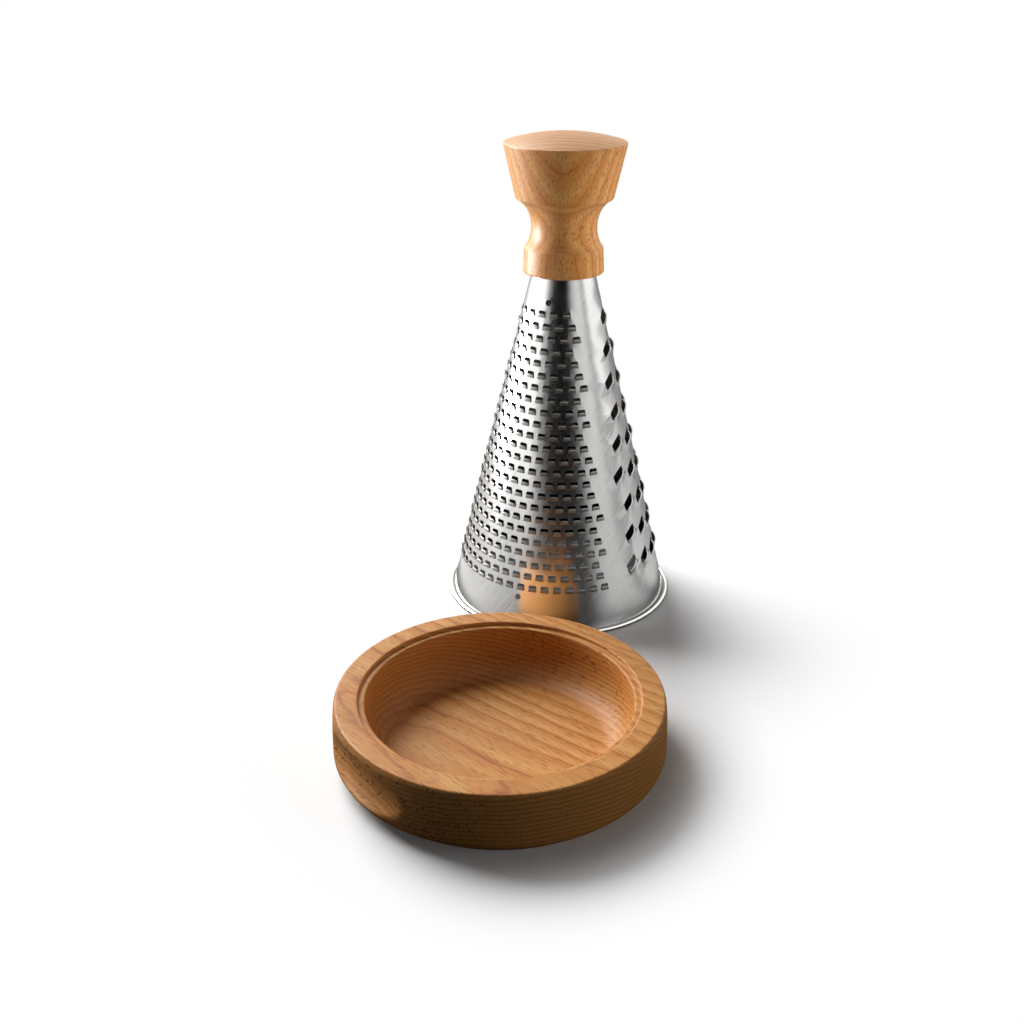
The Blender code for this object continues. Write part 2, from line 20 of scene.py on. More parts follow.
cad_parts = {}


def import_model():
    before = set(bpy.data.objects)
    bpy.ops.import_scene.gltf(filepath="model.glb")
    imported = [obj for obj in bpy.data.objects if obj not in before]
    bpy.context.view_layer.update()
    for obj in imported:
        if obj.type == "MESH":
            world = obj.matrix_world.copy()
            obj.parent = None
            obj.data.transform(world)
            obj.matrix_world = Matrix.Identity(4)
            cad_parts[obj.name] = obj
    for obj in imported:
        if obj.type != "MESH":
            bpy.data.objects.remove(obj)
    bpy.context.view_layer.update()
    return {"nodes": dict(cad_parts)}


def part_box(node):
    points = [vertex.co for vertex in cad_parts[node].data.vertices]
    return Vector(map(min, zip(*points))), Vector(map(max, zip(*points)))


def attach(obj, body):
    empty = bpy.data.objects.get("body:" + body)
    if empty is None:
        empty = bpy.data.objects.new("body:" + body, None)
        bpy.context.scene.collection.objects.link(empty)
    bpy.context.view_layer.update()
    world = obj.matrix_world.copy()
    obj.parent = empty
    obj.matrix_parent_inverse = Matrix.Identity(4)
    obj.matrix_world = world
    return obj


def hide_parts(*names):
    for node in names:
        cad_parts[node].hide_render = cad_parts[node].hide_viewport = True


LOG = logging.getLogger("table_grater")
MM = 0.001
FRAME_PIXELS = 1024
SENSOR_WIDTH = 36.0
WELD_DISTANCE = 1e-6
EASE_SHARE = 0.49  # the most of a side that the rounding of one corner takes up
LEAST_TURN = 0.01  # a corner that turns less, in radians, isn't rounded
BLANK_UV = "blank"  # the sheet as it lies flat, before it is rolled
BLANK_UV_SPAN = 0.5  # metres of the flat sheet to one unit of the map
WHITE = "#FFFFFF"

MATH = "ShaderNodeMath"
VECTORS = "ShaderNodeVectorMath"
NOISE = "ShaderNodeTexNoise"
MAP_RANGE = "ShaderNodeMapRange"
RANGE = ("From Min", "From Max", "To Min", "To Max")  # its inputs, in the order of a Range below
RAMP = "ShaderNodeValToRGB"
PLACE = "ShaderNodeTexCoord"
AXES = "ShaderNodeSeparateXYZ"
PRINCIPLED = "ShaderNodeBsdfPrincipled"

Tree = bpy.types.NodeTree
Node = bpy.types.Node
Socket = bpy.types.NodeSocket
Material = bpy.types.Material
Settings = dict[str | int, object]
Pair = tuple[float, float]
Place = tuple[float, float, float]
Range = tuple[float, float, float, float]
Stops = tuple[tuple[float, str], ...]
Path = list[Pair]


class Side(Enum):
    """The faces of a piece of sheet metal, by material slot."""

    FACE = 0
    CUT_EDGE = 1
    INSIDE = 2
    PAINTED_SHADE = 3


def linear(code: str) -> tuple[float, float, float, float]:
    """Turns an sRGB hex colour into linear values.

    Args:
        code: Six hex digits after a hash sign.

    Returns:
        Linear red, green and blue, and full opacity.
    """
    parts = [int(code[i : i + 2], 16) / 255 for i in (1, 3, 5)]
    red, green, blue = (p / 12.92 if p <= 0.04045 else ((p + 0.055) / 1.055) ** 2.4 for p in parts)
    return (red, green, blue, 1.0)


def add_node(tree: Tree, kind: str, settings: Settings | None = None) -> Node:
    """Adds one node with its settings and links.

    Args:
        tree: Node tree to add to.
        kind: Blender's name for the node type.
        settings: What its properties and its inputs get, by name or number. An input gets a value,
            an output that feeds it, or a node whose first output feeds it. Under "stops" stand the
            places and sRGB hex colours of a colour ramp, in order.

    Returns:
        The new node.
    """
    node = tree.nodes.new(kind)
    inputs = dict(settings or {})
    stops = inputs.pop("stops", ())
    for key in [key for key in inputs if isinstance(key, str) and hasattr(node, key)]:
        setattr(node, key, inputs.pop(key))
    for key, value in inputs.items():
        source = value.outputs[0] if isinstance(value, Node) else value
        if isinstance(source, Socket):
            tree.links.new(source, node.inputs[key])
        else:
            node.inputs[key].default_value = source
    for number, (place, code) in enumerate(stops):
        elements = node.color_ramp.elements
        element = elements[number] if number < len(elements) else elements.new(1.0)
        element.position = place
        element.color = linear(code)
    return node


def bare_tree(owner: Material | bpy.types.World) -> Tree:
    """Empties the node tree of a material or a world.

    Args:
        owner: The material or world.

    Returns:
        Its node tree.
    """
    owner.use_nodes = True
    owner.node_tree.nodes.clear()
    return owner.node_tree


def surfaced(material: Material, shader: Node) -> Material:
    """Ends a material with its shader and returns it."""
    add_node(material.node_tree, "ShaderNodeOutputMaterial", {"Surface": shader})
    return material


def spots(tree: Tree, size_mm: float, detail: float) -> Node:
    """Adds noise of a real size on a piece."""
    place = add_node(tree, PLACE).outputs["Object"]
    return add_node(tree, NOISE, {"Scale": 1 / (size_mm * MM), "Detail": detail, "Vector": place})


@dataclass(frozen=True)
class WoodNoise:
    """Noise in wood, drawn out along the fibres."""

    per_mm: float
    along: float  # how fast it changes along the fibres, as a share of across them
    detail: float
    roughness: float = 0.5

    def build(self, tree: Tree, place: Node) -> Node:
        """Adds the noise at a place in the wood.

        Args:
            tree: Tree to add to.
            place: Place in the wood.

        Returns:
            The noise, from 0 to 1.
        """
        drawn = {"operation": "MULTIPLY", 0: place, 1: (self.along, 1.0, 1.0)}
        fine = {"Scale": self.per_mm, "Detail": self.detail, "Roughness": self.roughness}
        return add_node(tree, NOISE, {**fine, "Vector": add_node(tree, VECTORS, drawn)})


@dataclass(frozen=True)
class OiledBeech:
    """Turned, sanded and oiled beech.

    The eye sees warm straw and orange-brown, thin darker lines where the year's late wood ends, and
    the short dark flecks of the rays, which lie along the fibres and fade where the cut crosses
    them. The oil leaves a soft, broad shine. Rays, fibres and pores are drawn coarser than the real
    0.1 mm, so that they show.
    """

    name: str
    fibre: Place
    growth: Place
    ring_mm: float
    ring_wander_mm: float
    ray_cell_mm: Place  # height, thickness and depth that a ray has to itself
    early: str
    body: str
    late: str
    shine: float
    ring_start_mm: float = 0.0
    ring_curve_mm: float = 240.0
    late_share: float = 0.07
    early_place: float = 0.35
    body_place: float = 0.80
    ray: str = "#84441C"
    ray_reach: Pair = (0.16, 0.31)
    ray_strength: float = 0.85
    roughness: float = 0.42
    roughness_swing: Pair = (-0.07, 0.10)
    relief_mm: float = 0.05
    relief_strength: float = 0.22
    ring_wander: WoodNoise = WoodNoise(1 / 20, 0.25, 2.0)
    clouds: WoodNoise = WoodNoise(1 / 18, 0.15, 3.0, 0.6)
    fibres: WoodNoise = WoodNoise(1.4, 0.05, 4.0, 0.65)
    pores: WoodNoise = WoodNoise(3.2, 0.12, 3.0, 0.7)
    oil: WoodNoise = WoodNoise(0.35, 1.0, 3.0)
    # From low, from high, to low and to high: strength of the rings by the clouds, brightness by
    # the fibres, and strength of the rays by how squarely the cut crosses the fibres.
    ring_fade: Range = (0.35, 0.7, 0.45, 1.0)
    fibre_shade: Range = (0.25, 0.75, 0.76, 1.16)
    ray_fade: Range = (0.5, 0.95, 1.0, 0.15)

    def turned(self) -> Matrix:
        """Turns the piece's axes into fibre, across and growth directions.

        Returns:
            The rotation.
        """
        fibre = Vector(self.fibre).normalized()
        growth = Vector(self.growth)
        growth = (growth - growth.dot(fibre) * fibre).normalized()
        return Matrix((fibre, growth.cross(fibre), growth))

    def build(self) -> Material:
        """Builds the material.

        Returns:
            The finished material.
        """
        material = bpy.data.materials.new(self.name)
        tree = bare_tree(material)
        piece = add_node(tree, PLACE)
        # Millimetres in the wood: X along the fibres, Y across them, Z through the rings.
        wood = {"Rotation": self.turned().to_euler(), "Scale": (1 / MM, 1 / MM, 1 / MM)}
        place = add_node(tree, "ShaderNodeMapping", {**wood, "Vector": piece.outputs["Object"]})
        rays = self.rays(tree, place, piece.outputs["Normal"])
        flecked = {"data_type": "RGBA", 0: rays, 6: self.colour(tree, place), 7: linear(self.ray)}
        # The oil's sheen is uneven, and rays and pores lie a little low.
        sheen = dict(zip(RANGE[2:], (self.roughness + swing for swing in self.roughness_swing)))
        relief = {"operation": "SUBTRACT", 0: self.pores.build(tree, place), 1: rays}
        depth = {"Strength": self.relief_strength, "Distance": self.relief_mm * MM}
        shader = {
            "Base Color": add_node(tree, "ShaderNodeMix", flecked).outputs[2],
            "Roughness": add_node(tree, MAP_RANGE, {**sheen, "Value": self.oil.build(tree, place)}),
            "Normal": add_node(tree, "ShaderNodeBump", {**depth, "Height": add_node(tree, MATH, relief)}),
            "Specular IOR Level": self.shine,
        }
        return surfaced(material, add_node(tree, PRINCIPLED, shader))

    def rings(self, tree: Tree, place: Node) -> Node:
        """Finds the year rings, which are curved and wander a little.

        Args:
            tree: Tree to add to.
            place: Place in the wood.

        Returns:
            How far through its ring each place is, from 0 to 1.
        """
        _, across, through = add_node(tree, AXES, {0: place}).outputs
        square = add_node(tree, MATH, {"operation": "MULTIPLY", 0: across, 1: across})
        bow = {"operation": "MULTIPLY_ADD", 0: square, 1: 0.5 / self.ring_curve_mm, 2: through}
        start = -self.ring_start_mm - self.ring_wander_mm / 2
        wander = self.ring_wander.build(tree, place)
        swing = {"operation": "MULTIPLY_ADD", 0: wander, 1: self.ring_wander_mm, 2: start}
        depth = {"operation": "ADD", 0: add_node(tree, MATH, bow), 1: add_node(tree, MATH, swing)}
        count = {"operation": "DIVIDE", 0: add_node(tree, MATH, depth), 1: self.ring_mm}
        return add_node(tree, MATH, {"operation": "FRACT", 0: add_node(tree, MATH, count)})

    def colour(self, tree: Tree, place: Node) -> Node:
        """Colours the wood between its rays: each ring's light, body and dark part, clouded.

        Args:
            tree: Tree to add to.
            place: Place in the wood.

        Returns:
            The colour.
        """
        stops = (
            (0.0, self.late),
            (self.late_share, self.body),
            (self.early_place, self.early),
            (self.body_place, self.body),
            (1.0 - self.late_share / 2, self.body),
            (1.0, self.late),
        )
        rings = add_node(tree, RAMP, {"stops": stops, "Fac": self.rings(tree, place)})
        fade = dict(zip(RANGE, self.ring_fade), Value=self.clouds.build(tree, place))
        mix = {"data_type": "RGBA", 0: add_node(tree, MAP_RANGE, fade), 6: linear(self.body), 7: rings}
        clouded = add_node(tree, "ShaderNodeMix", mix).outputs[2]
        shade = dict(zip(RANGE, self.fibre_shade), Value=self.fibres.build(tree, place))
        shaded = {"operation": "SCALE", 0: clouded, "Scale": add_node(tree, MAP_RANGE, shade)}
        return add_node(tree, VECTORS, shaded)

    def rays(self, tree: Tree, place: Node, normal: Socket) -> Node:
        """Finds where a ray meets the surface.

        Args:
            tree: Tree to add to.
            place: Place in the wood.
            normal: Normal of the piece's surface.

        Returns:
            How much of a ray shows, from 0 to 1.
        """
        shares = tuple(1 / size for size in self.ray_cell_mm)
        cells = add_node(tree, VECTORS, {"operation": "MULTIPLY", 0: place, 1: shares})
        rays = add_node(tree, "ShaderNodeTexVoronoi", {"Scale": 1.0, "Vector": cells})
        mask = dict(zip(RANGE, (*self.ray_reach, self.ray_strength, 0.0)), Value=rays)
        along = {"operation": "DOT_PRODUCT", 0: normal, 1: Vector(self.fibre).normalized()}
        cosine = add_node(tree, VECTORS, along).outputs["Value"]
        crossed = add_node(tree, MATH, {"operation": "ABSOLUTE", 0: cosine})
        fade = dict(zip(RANGE, self.ray_fade), Value=crossed)
        shown = {0: add_node(tree, MAP_RANGE, mask), 1: add_node(tree, MAP_RANGE, fade)}
        return add_node(tree, MATH, {"operation": "MULTIPLY", **shown})


@dataclass(frozen=True)
class BrushedStainless:
    """Stainless sheet with a straight brushed grain, punched and then rolled.

    The grain runs straight across the flat blank, so it lies slanting on the rolled cone. The eye
    sees soft, slightly streaked reflections that smear across the grain.
    """

    name: str = "brushed_stainless"
    tint: str = "#F8F7F5"
    streak_tint: str = "#E4E3E1"
    roughness: float = 0.17
    anisotropy: float = 0.55
    grain_angle: float = -39.0
    streak_width_mm: float = 0.35  # drawn coarser than the real 0.05 mm, so that it shows
    streak_length_mm: float = 22.0
    streak_stops: Pair = (0.3, 0.65)
    roughness_range: Range = (0.3, 0.7, -0.05, 0.09)
    relief_mm: float = 0.02
    relief_strength: float = 0.10

    def build(self) -> Material:
        """Builds the material.

        Returns:
            The finished material.
        """
        material = bpy.data.materials.new(self.name)
        tree = bare_tree(material)
        span = BLANK_UV_SPAN / MM
        flat = {
            "Vector": add_node(tree, "ShaderNodeUVMap", {"uv_map": BLANK_UV}),
            "Rotation": (0.0, 0.0, math.radians(-self.grain_angle)),
            "Scale": (span, span, 1.0),
        }
        shares = (1 / self.streak_length_mm, 1 / self.streak_width_mm, 1.0)
        streaks = {"operation": "MULTIPLY", 0: add_node(tree, "ShaderNodeMapping", flat), 1: shares}
        fine = {"Scale": 1.0, "Detail": 3.0, "Roughness": 0.7, "Vector": add_node(tree, VECTORS, streaks)}
        grain = add_node(tree, NOISE, fine)
        stops = tuple(zip(self.streak_stops, (self.streak_tint, self.tint)))
        start, end, low, high = self.roughness_range
        rough = (start, end, self.roughness + low, self.roughness + high)
        relief = {"Strength": self.relief_strength, "Distance": self.relief_mm * MM, "Height": grain}
        along = {"direction_type": "UV_MAP", "uv_map": BLANK_UV}
        shader = {
            "Base Color": add_node(tree, RAMP, {"stops": stops, "Fac": grain}),
            "Roughness": add_node(tree, MAP_RANGE, dict(zip(RANGE, rough), Value=grain)),
            "Normal": add_node(tree, "ShaderNodeBump", relief),
            "Tangent": add_node(tree, "ShaderNodeTangent", along),
            "Anisotropic": self.anisotropy,
            "Anisotropic Rotation": (self.grain_angle + 90.0) / 360.0,
            "Metallic": 1.0,
        }
        return surfaced(material, add_node(tree, PRINCIPLED, shader))


@dataclass(frozen=True)
class ShearedEdge:
    """Cut edges of the sheet, which the punch leaves bright and a little torn."""

    name: str = "sheared_stainless"
    tint: str = "#C6C5C3"
    roughness: Pair = (0.24, 0.46)
    tear_mm: float = 0.3

    def build(self) -> Material:
        """Builds the material.

        Returns:
            The finished material.
        """
        material = bpy.data.materials.new(self.name)
        tree = bare_tree(material)
        torn = dict(zip(RANGE[2:], self.roughness), Value=spots(tree, self.tear_mm, 2.0))
        rough = add_node(tree, MAP_RANGE, torn)
        shader = {"Base Color": linear(self.tint), "Roughness": rough, "Metallic": 1.0}
        return surfaced(material, add_node(tree, PRINCIPLED, shader))


@dataclass(frozen=True)
class SmallPartMetal:
    """Metal of small parts: faintly mottled and half dull, in the cool grey of zinc plate."""

    name: str
    tint: str = "#AEB2B6"
    dull_tint: str = "#8E9296"
    roughness: float = 0.36
    mottle_mm: float = 0.8
    mottle_stops: Pair = (0.3, 0.7)

    def build(self) -> Material:
        """Builds the material.

        Returns:
            The finished material.
        """
        material = bpy.data.materials.new(self.name)
        tree = bare_tree(material)
        stops = tuple(zip(self.mottle_stops, (self.dull_tint, self.tint)))
        mottled = {"stops": stops, "Fac": spots(tree, self.mottle_mm, 3.0)}
        colour = add_node(tree, RAMP, mottled)
        shader = {"Base Color": colour, "Roughness": self.roughness, "Metallic": 1.0}
        return surfaced(material, add_node(tree, PRINCIPLED, shader))


def arc(centre: Pair, reach: Pair, start: float, end: float, steps: int) -> Path:
    """Points (r, z) of an elliptical arc; reach is its half sizes, and angles turn from +r to +z."""
    turns = [math.radians(start + (end - start) * step / steps) for step in range(steps + 1)]
    return [(centre[0] + reach[0] * math.cos(t), centre[1] + reach[1] * math.sin(t)) for t in turns]


def eased(corners: Sequence[Place], steps: int = 6) -> Path:
    """Rounds the corners of a profile.

    Args:
        corners: Points (r, z, radius), where radius 0 keeps the corner.
        steps: Straight steps in each rounding.

    Returns:
        The profile's points.
    """
    path: Path = [corners[0][:2]]
    for before, here, after in zip(corners, corners[1:], corners[2:]):
        point = Vector(here[:2])
        back, on = Vector(before[:2]) - point, Vector(after[:2]) - point
        turn = math.pi - back.angle(on)
        if here[2] == 0 or turn < LEAST_TURN:
            path.append(tuple(point))
            continue
        run = min(here[2] * math.tan(turn / 2), min(back.length, on.length) * EASE_SHARE)
        first, last = point + back.normalized() * run, point + on.normalized() * run
        for step in range(steps + 1):
            t = step / steps
            path.append(tuple(first * (1 - t) ** 2 + point * (2 * t * (1 - t)) + last * t**2))
    path.append(corners[-1][:2])
    return path


def divided(path: Path, longest: float) -> Path:
    """Divides a profile's long steps.

    Args:
        path: The profile.
        longest: Longest step that stays whole.

    Returns:
        The divided profile.
    """
    result = [path[0]]
    for before, after in zip(path, path[1:]):
        count = max(1, math.ceil(math.dist(before, after) / longest))
        for step in range(1, count + 1):
            result.append(tuple(a + (b - a) * step / count for a, b in zip(before, after)))
    return result


def lathe(
    name: str,
    path: Path,
    segments: int,
    shape: Callable[[float, float, float], float] = lambda angle, r, z: r,
) -> bpy.types.Mesh:
    """Turns a profile about +Z.

    Args:
        name: Name of the mesh.
        path: Profile (r, z) that runs down the outer side.
        segments: Divisions of the circle.
        shape: Gives the radius to use at (angle in degrees, r, z).

    Returns:
        The mesh.
    """
    mesh = bmesh.new()
    rows = []
    for r, z in path:
        row = []
        for i in range(1 if r < WELD_DISTANCE else segments):
            angle = 360.0 * i / segments
            radius, turn = shape(angle, r, z), math.radians(angle)
            row.append(mesh.verts.new((radius * math.sin(turn), -radius * math.cos(turn), z)))
        rows.append(row)
    for upper, lower in zip(rows, rows[1:]):
        for i in range(segments):
            corners = [upper[i % len(upper)], lower[i % len(lower)]]
            corners += [lower[(i + 1) % len(lower)], upper[(i + 1) % len(upper)]]
            unique = list(dict.fromkeys(corners))
            if len(unique) > 2:
                mesh.faces.new(unique).smooth = True
    data = bpy.data.meshes.new(name)
    mesh.to_mesh(data)
    mesh.free()
    return data


def show(
    name: str, mesh: bpy.types.Mesh, place: Vector, body: str, node: str, *materials: Material
) -> None:
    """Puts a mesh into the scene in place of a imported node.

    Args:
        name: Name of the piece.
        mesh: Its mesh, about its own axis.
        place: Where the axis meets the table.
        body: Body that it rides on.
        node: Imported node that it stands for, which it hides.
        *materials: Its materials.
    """
    obj = bpy.data.objects.new(name, mesh)
    bpy.context.scene.collection.objects.link(obj)
    obj.location = place
    for material in materials:
        mesh.materials.append(material)
    bpy.context.view_layer.update()
    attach(obj, body)
    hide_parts(node)
    LOG.info("%s: %d faces", name, len(mesh.polygons))


def axis_of(node: str) -> Vector:
    """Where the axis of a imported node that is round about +Z meets the table."""
    low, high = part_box(node)
    return Vector(((low[0] + high[0]) / 2, (low[1] + high[1]) / 2, 0.0))


@dataclass
class PunchedCone:
    """The cone: one sheet with its teeth, rolled rim, cut edges and brushed grain."""

    axis: Vector
    sheet: float = 0.0006
    foot_radius: float = 0.06097
    foot_z: float = 0.0020
    top_radius: float = 0.01361
    height: float = 0.19696
    handle_bottom_z: float = 0.18556
    foot_segments: int = 192
    seam_steps: int = 40
    plain_spacing: float = 0.0045
    plain_match: float = 0.9995  # cosine, up to which the sheet counts as plain cone
    roll_radius: float = 0.0009
    roll_offset: float = 0.00217
    roll_start: float = 205.0
    roll_end: float = -90.0
    roll_steps: int = 26
    groove_offset: float = 0.0005
    groove_z: float = 0.0005
    groove_round: float = 0.0004
    groove_steps: int = 7  # steps of the roll that lie in the groove
    corner_steps: int = 3
    low_corner_steps: int = 2
    groove_round_steps: int = 4
    fine_rows: int = 24
    fine_below_handle: float = 0.01844
    fine_above_foot: float = 0.02172
    fine_pitch: float = 0.00675
    fine_row_shift: float = 0.00304
    fine_first: float = 0.00529
    fine_width: float = 0.0047
    fine_top_width: float = 0.0042
    fine_height: float = 0.0036
    fine_corner: float = 0.0008
    fine_low_corner: float = 0.0002
    fine_clear: float = 0.00423  # reach round a fine tooth that the fill keeps out of
    fine_tab_width: float = 0.0042
    fine_tab_height: float = 0.0021
    fine_tab_arch: float = 0.0003
    fine_tab_lift: float = 0.0009
    fine_tab_taper: float = 0.06
    fine_tab_droop: float = 0.1
    fine_tab_steps: int = 4
    # The tab from its hinge to its cutting edge: share of its height, and share of its lift.
    fine_tab_curve: tuple[Pair, ...] = ((0.0, 0.0), (0.04, 0.76), (0.48, 0.88), (0.90, 1.0), (1.0, 0.86))
    fine_left_angle: float = -84.0
    fine_right_angle_low: float = 39.1
    fine_right_angle_high: float = 30.1
    coarse_rows: int = 9
    coarse_below_handle: float = 0.0217
    coarse_above_foot: float = 0.0296
    coarse_pitch: float = 0.0131
    coarse_first: float = 0.0320
    coarse_row_shift: float = 0.0013
    coarse_group: int = 3
    coarse_group_shifts: tuple[float, ...] = (0.0, 0.0035, 0.0111)
    coarse_right_angle: float = 126.0
    coarse_lip_left: Pair = (-0.0030, -0.0049)
    coarse_lip_right: Pair = (0.0046, 0.0009)
    coarse_top_right: Pair = (0.0038, 0.0042)
    coarse_top_left: Pair = (-0.0041, -0.0006)
    coarse_corner: float = 0.0007
    coarse_scoop: float = 0.0066
    coarse_scoop_slope: float = 0.0022
    coarse_scoop_rows: tuple[float, ...] = (0.13, 0.26, 0.40, 0.54, 0.69, 0.84, 1.0)
    coarse_scoop_fall: float = 1.5
    coarse_lip_steps: int = 7
    coarse_lip_arch: float = 0.7
    coarse_lift: float = 0.0019
    coarse_clear: float = 0.0096
    pilot_radius: float = 0.0016
    pilot_steps: int = 24
    pilot_angle: float = -13.9
    pilot_below_handle: float = 0.0125
    pilot_above_foot: float = 0.0161
    finishes: tuple[BrushedStainless | ShearedEdge, ...] = (
        BrushedStainless(),
        ShearedEdge(),
        # The sheet's inside as the mill left it: a dull, even grey.
        BrushedStainless("mill_stainless", "#CFCECB", "#BDBCB9", 0.42, 0.2),
        # Tabs and groove: duller with no grain left, and a darker tint that is painted shade.
        BrushedStainless("stainless_painted_shade", "#A6A4A0", "#94928E", 0.36, 0.0),
    )

    def __post_init__(self) -> None:
        """Works out the cone's flare and starts the flat blank."""
        self.flare = math.atan2(self.foot_radius - self.top_radius, self.height)
        self.apex_z = self.foot_z + self.foot_radius / math.tan(self.flare)
        self.seam = (self.coarse_right_angle + self.fine_left_angle + 360.0) / 2
        self.flat: list[Vector] = []
        self.lifts: list[float] = []
        self.holes: list[list[int]] = []

    def radius_at(self, z: float) -> float:
        """Radius of the cone's outer face at height z."""
        return (self.apex_z - z) * math.tan(self.flare)

    def place(self, angle: float, z: float) -> Vector:
        """Where a place on the finished cone lies on the flat blank."""
        turn = math.radians(angle) * math.sin(self.flare)
        return Vector((math.cos(turn), math.sin(turn))) * ((self.apex_z - z) / math.cos(self.flare))

    def add(self, angle: float, z: float, lift: float = 0.0) -> int:
        """Adds a point to the blank.

        Args:
            angle: Its angle on the finished cone.
            z: Its height on the finished cone.
            lift: How far it stands off the outer face.

        Returns:
            Its number.
        """
        self.flat.append(self.place(angle, z))
        self.lifts.append(lift)
        return len(self.flat) - 1

    def rolled(self, point: Vector, lift: float) -> Vector:
        """Rolls a point of the blank.

        Args:
            point: The point on the flat blank.
            lift: How far it stands off the outer face.

        Returns:
            Where it is on the finished cone.
        """
        slant = point.length
        turn = math.atan2(point.y, point.x) / math.sin(self.flare)
        radius = slant * math.sin(self.flare) + lift * math.cos(self.flare)
        z = self.apex_z - slant * math.cos(self.flare) + lift * math.sin(self.flare)
        return Vector((radius * math.sin(turn), -radius * math.cos(turn), z))

    def beside(self, angle: float, z: float, across: float, up: float) -> Pair:
        """Angle and height of a place that lies across and up from another."""
        return angle + math.degrees(across / self.radius_at(z)), z + up * math.cos(self.flare)

    def heights(self, rows: int, below_handle: float, above_foot: float) -> list[float]:
        """Heights of the rows of one zone, from the top down."""
        top, low = self.handle_bottom_z - below_handle, self.foot_z + above_foot
        return [top - (top - low) / (rows - 1) * row for row in range(rows)]

    def fine_teeth(self) -> list[Pair]:
        """Places the fine teeth.

        Returns:
            Angle and height of each.
        """
        teeth = []
        heights = self.heights(self.fine_rows, self.fine_below_handle, self.fine_above_foot)
        for row, z in enumerate(heights):
            share = row / (self.fine_rows - 1)
            right = self.fine_right_angle_high * (1 - share) + self.fine_right_angle_low * share
            step = math.degrees(self.fine_pitch / self.radius_at(z))
            lead = math.degrees((self.fine_first + self.fine_row_shift * row) / self.radius_at(z))
            angle = lead - math.ceil((lead - right) / step) * step
            while angle > self.fine_left_angle:
                teeth.append((angle, z))
                angle -= step
        return teeth

    def coarse_teeth(self) -> list[Pair]:
        """Places the coarse teeth.

        Returns:
            Angle and height of each.
        """
        teeth = []
        heights = self.heights(self.coarse_rows, self.coarse_below_handle, self.coarse_above_foot)
        for row, z in enumerate(heights):
            along = self.coarse_first + self.coarse_row_shift * row
            along += self.coarse_group_shifts[row // self.coarse_group]
            angle = math.degrees(along / self.radius_at(z))
            while angle < self.coarse_right_angle:
                teeth.append((angle, z))
                angle += math.degrees(self.coarse_pitch / self.radius_at(z))
        return teeth

    def outline(self) -> list[int]:
        """Adds the edge of the blank.

        Returns:
            Numbers of its points: foot, seam, top and the seam's other side.
        """
        foot, top, steps = self.foot_segments, self.foot_segments // 2, self.seam_steps
        heights = [self.foot_z + self.height * i / steps for i in range(1, steps)]
        start, top_z = self.seam - 360.0, self.foot_z + self.height
        loop = [self.add(start + 360.0 * i / foot, self.foot_z) for i in range(foot + 1)]
        loop += [self.add(self.seam, z) for z in heights]
        loop += [self.add(self.seam - 360.0 * i / top, top_z) for i in range(top + 1)]
        return loop + [self.add(start, z) for z in reversed(heights)]

    def fill(self) -> None:
        """Adds points that keep the sheet between the teeth round."""
        rings = round(self.height / self.plain_spacing)
        teeth = [(tooth, self.fine_clear) for tooth in self.fine_teeth()]
        teeth += [(tooth, self.coarse_clear) for tooth in self.coarse_teeth()]
        for ring in range(1, rings):
            z = self.foot_z + self.height * ring / rings
            near = [item for item in teeth if abs(item[0][1] - z) < item[1]]
            count = round(math.tau * self.radius_at(z) / self.plain_spacing)
            for i in range(1, count):
                angle = self.seam - 360.0 * i / count
                if all(self.apart(angle, z, *tooth) > reach for tooth, reach in near):
                    self.add(angle, z)

    def apart(self, angle: float, z: float, other_angle: float, other_z: float) -> float:
        """Distance over the wall between two places."""
        turn = (angle - other_angle + 180.0) % 360.0 - 180.0
        return math.hypot(math.radians(turn) * self.radius_at(z), z - other_z)

    def punch_pilot(self, z: float) -> None:
        """Punches one round hole that the blank was held by, at height z."""
        ring = arc((0.0, 0.0), (self.pilot_radius, self.pilot_radius), 0.0, 360.0, self.pilot_steps)
        self.holes.append([self.add(*self.beside(self.pilot_angle, z, x, y)) for x, y in ring[:-1]])

    def punch_fine(self, angle: float, z: float) -> None:
        """Punches one fine tooth's window: narrower at the top, and cut down beside its tab.

        Args:
            angle: Angle of the tooth.
            z: Its height.
        """
        side, half = self.fine_width / 2, self.fine_height / 2
        low, high, steps = self.fine_low_corner, self.fine_corner, self.fine_tab_steps
        hinge = [(self.fine_tab_width * (i / steps - 0.5), -half) for i in range(steps + 1)]
        ring = arc((side - low, low - half), (low, low), -90.0, 0.0, self.low_corner_steps)
        ring += arc((side - high, half - high), (high, high), 0.0, 90.0, self.corner_steps)
        ring += [(-x, y) for x, y in reversed(ring)]
        narrowing = (1 - self.fine_top_width / self.fine_width) / self.fine_height
        ring = [(x * (1 - narrowing * (y + half)), y) for x, y in ring]
        self.holes.append([self.add(*self.beside(angle, z, x, y)) for x, y in (*hinge, *ring)])

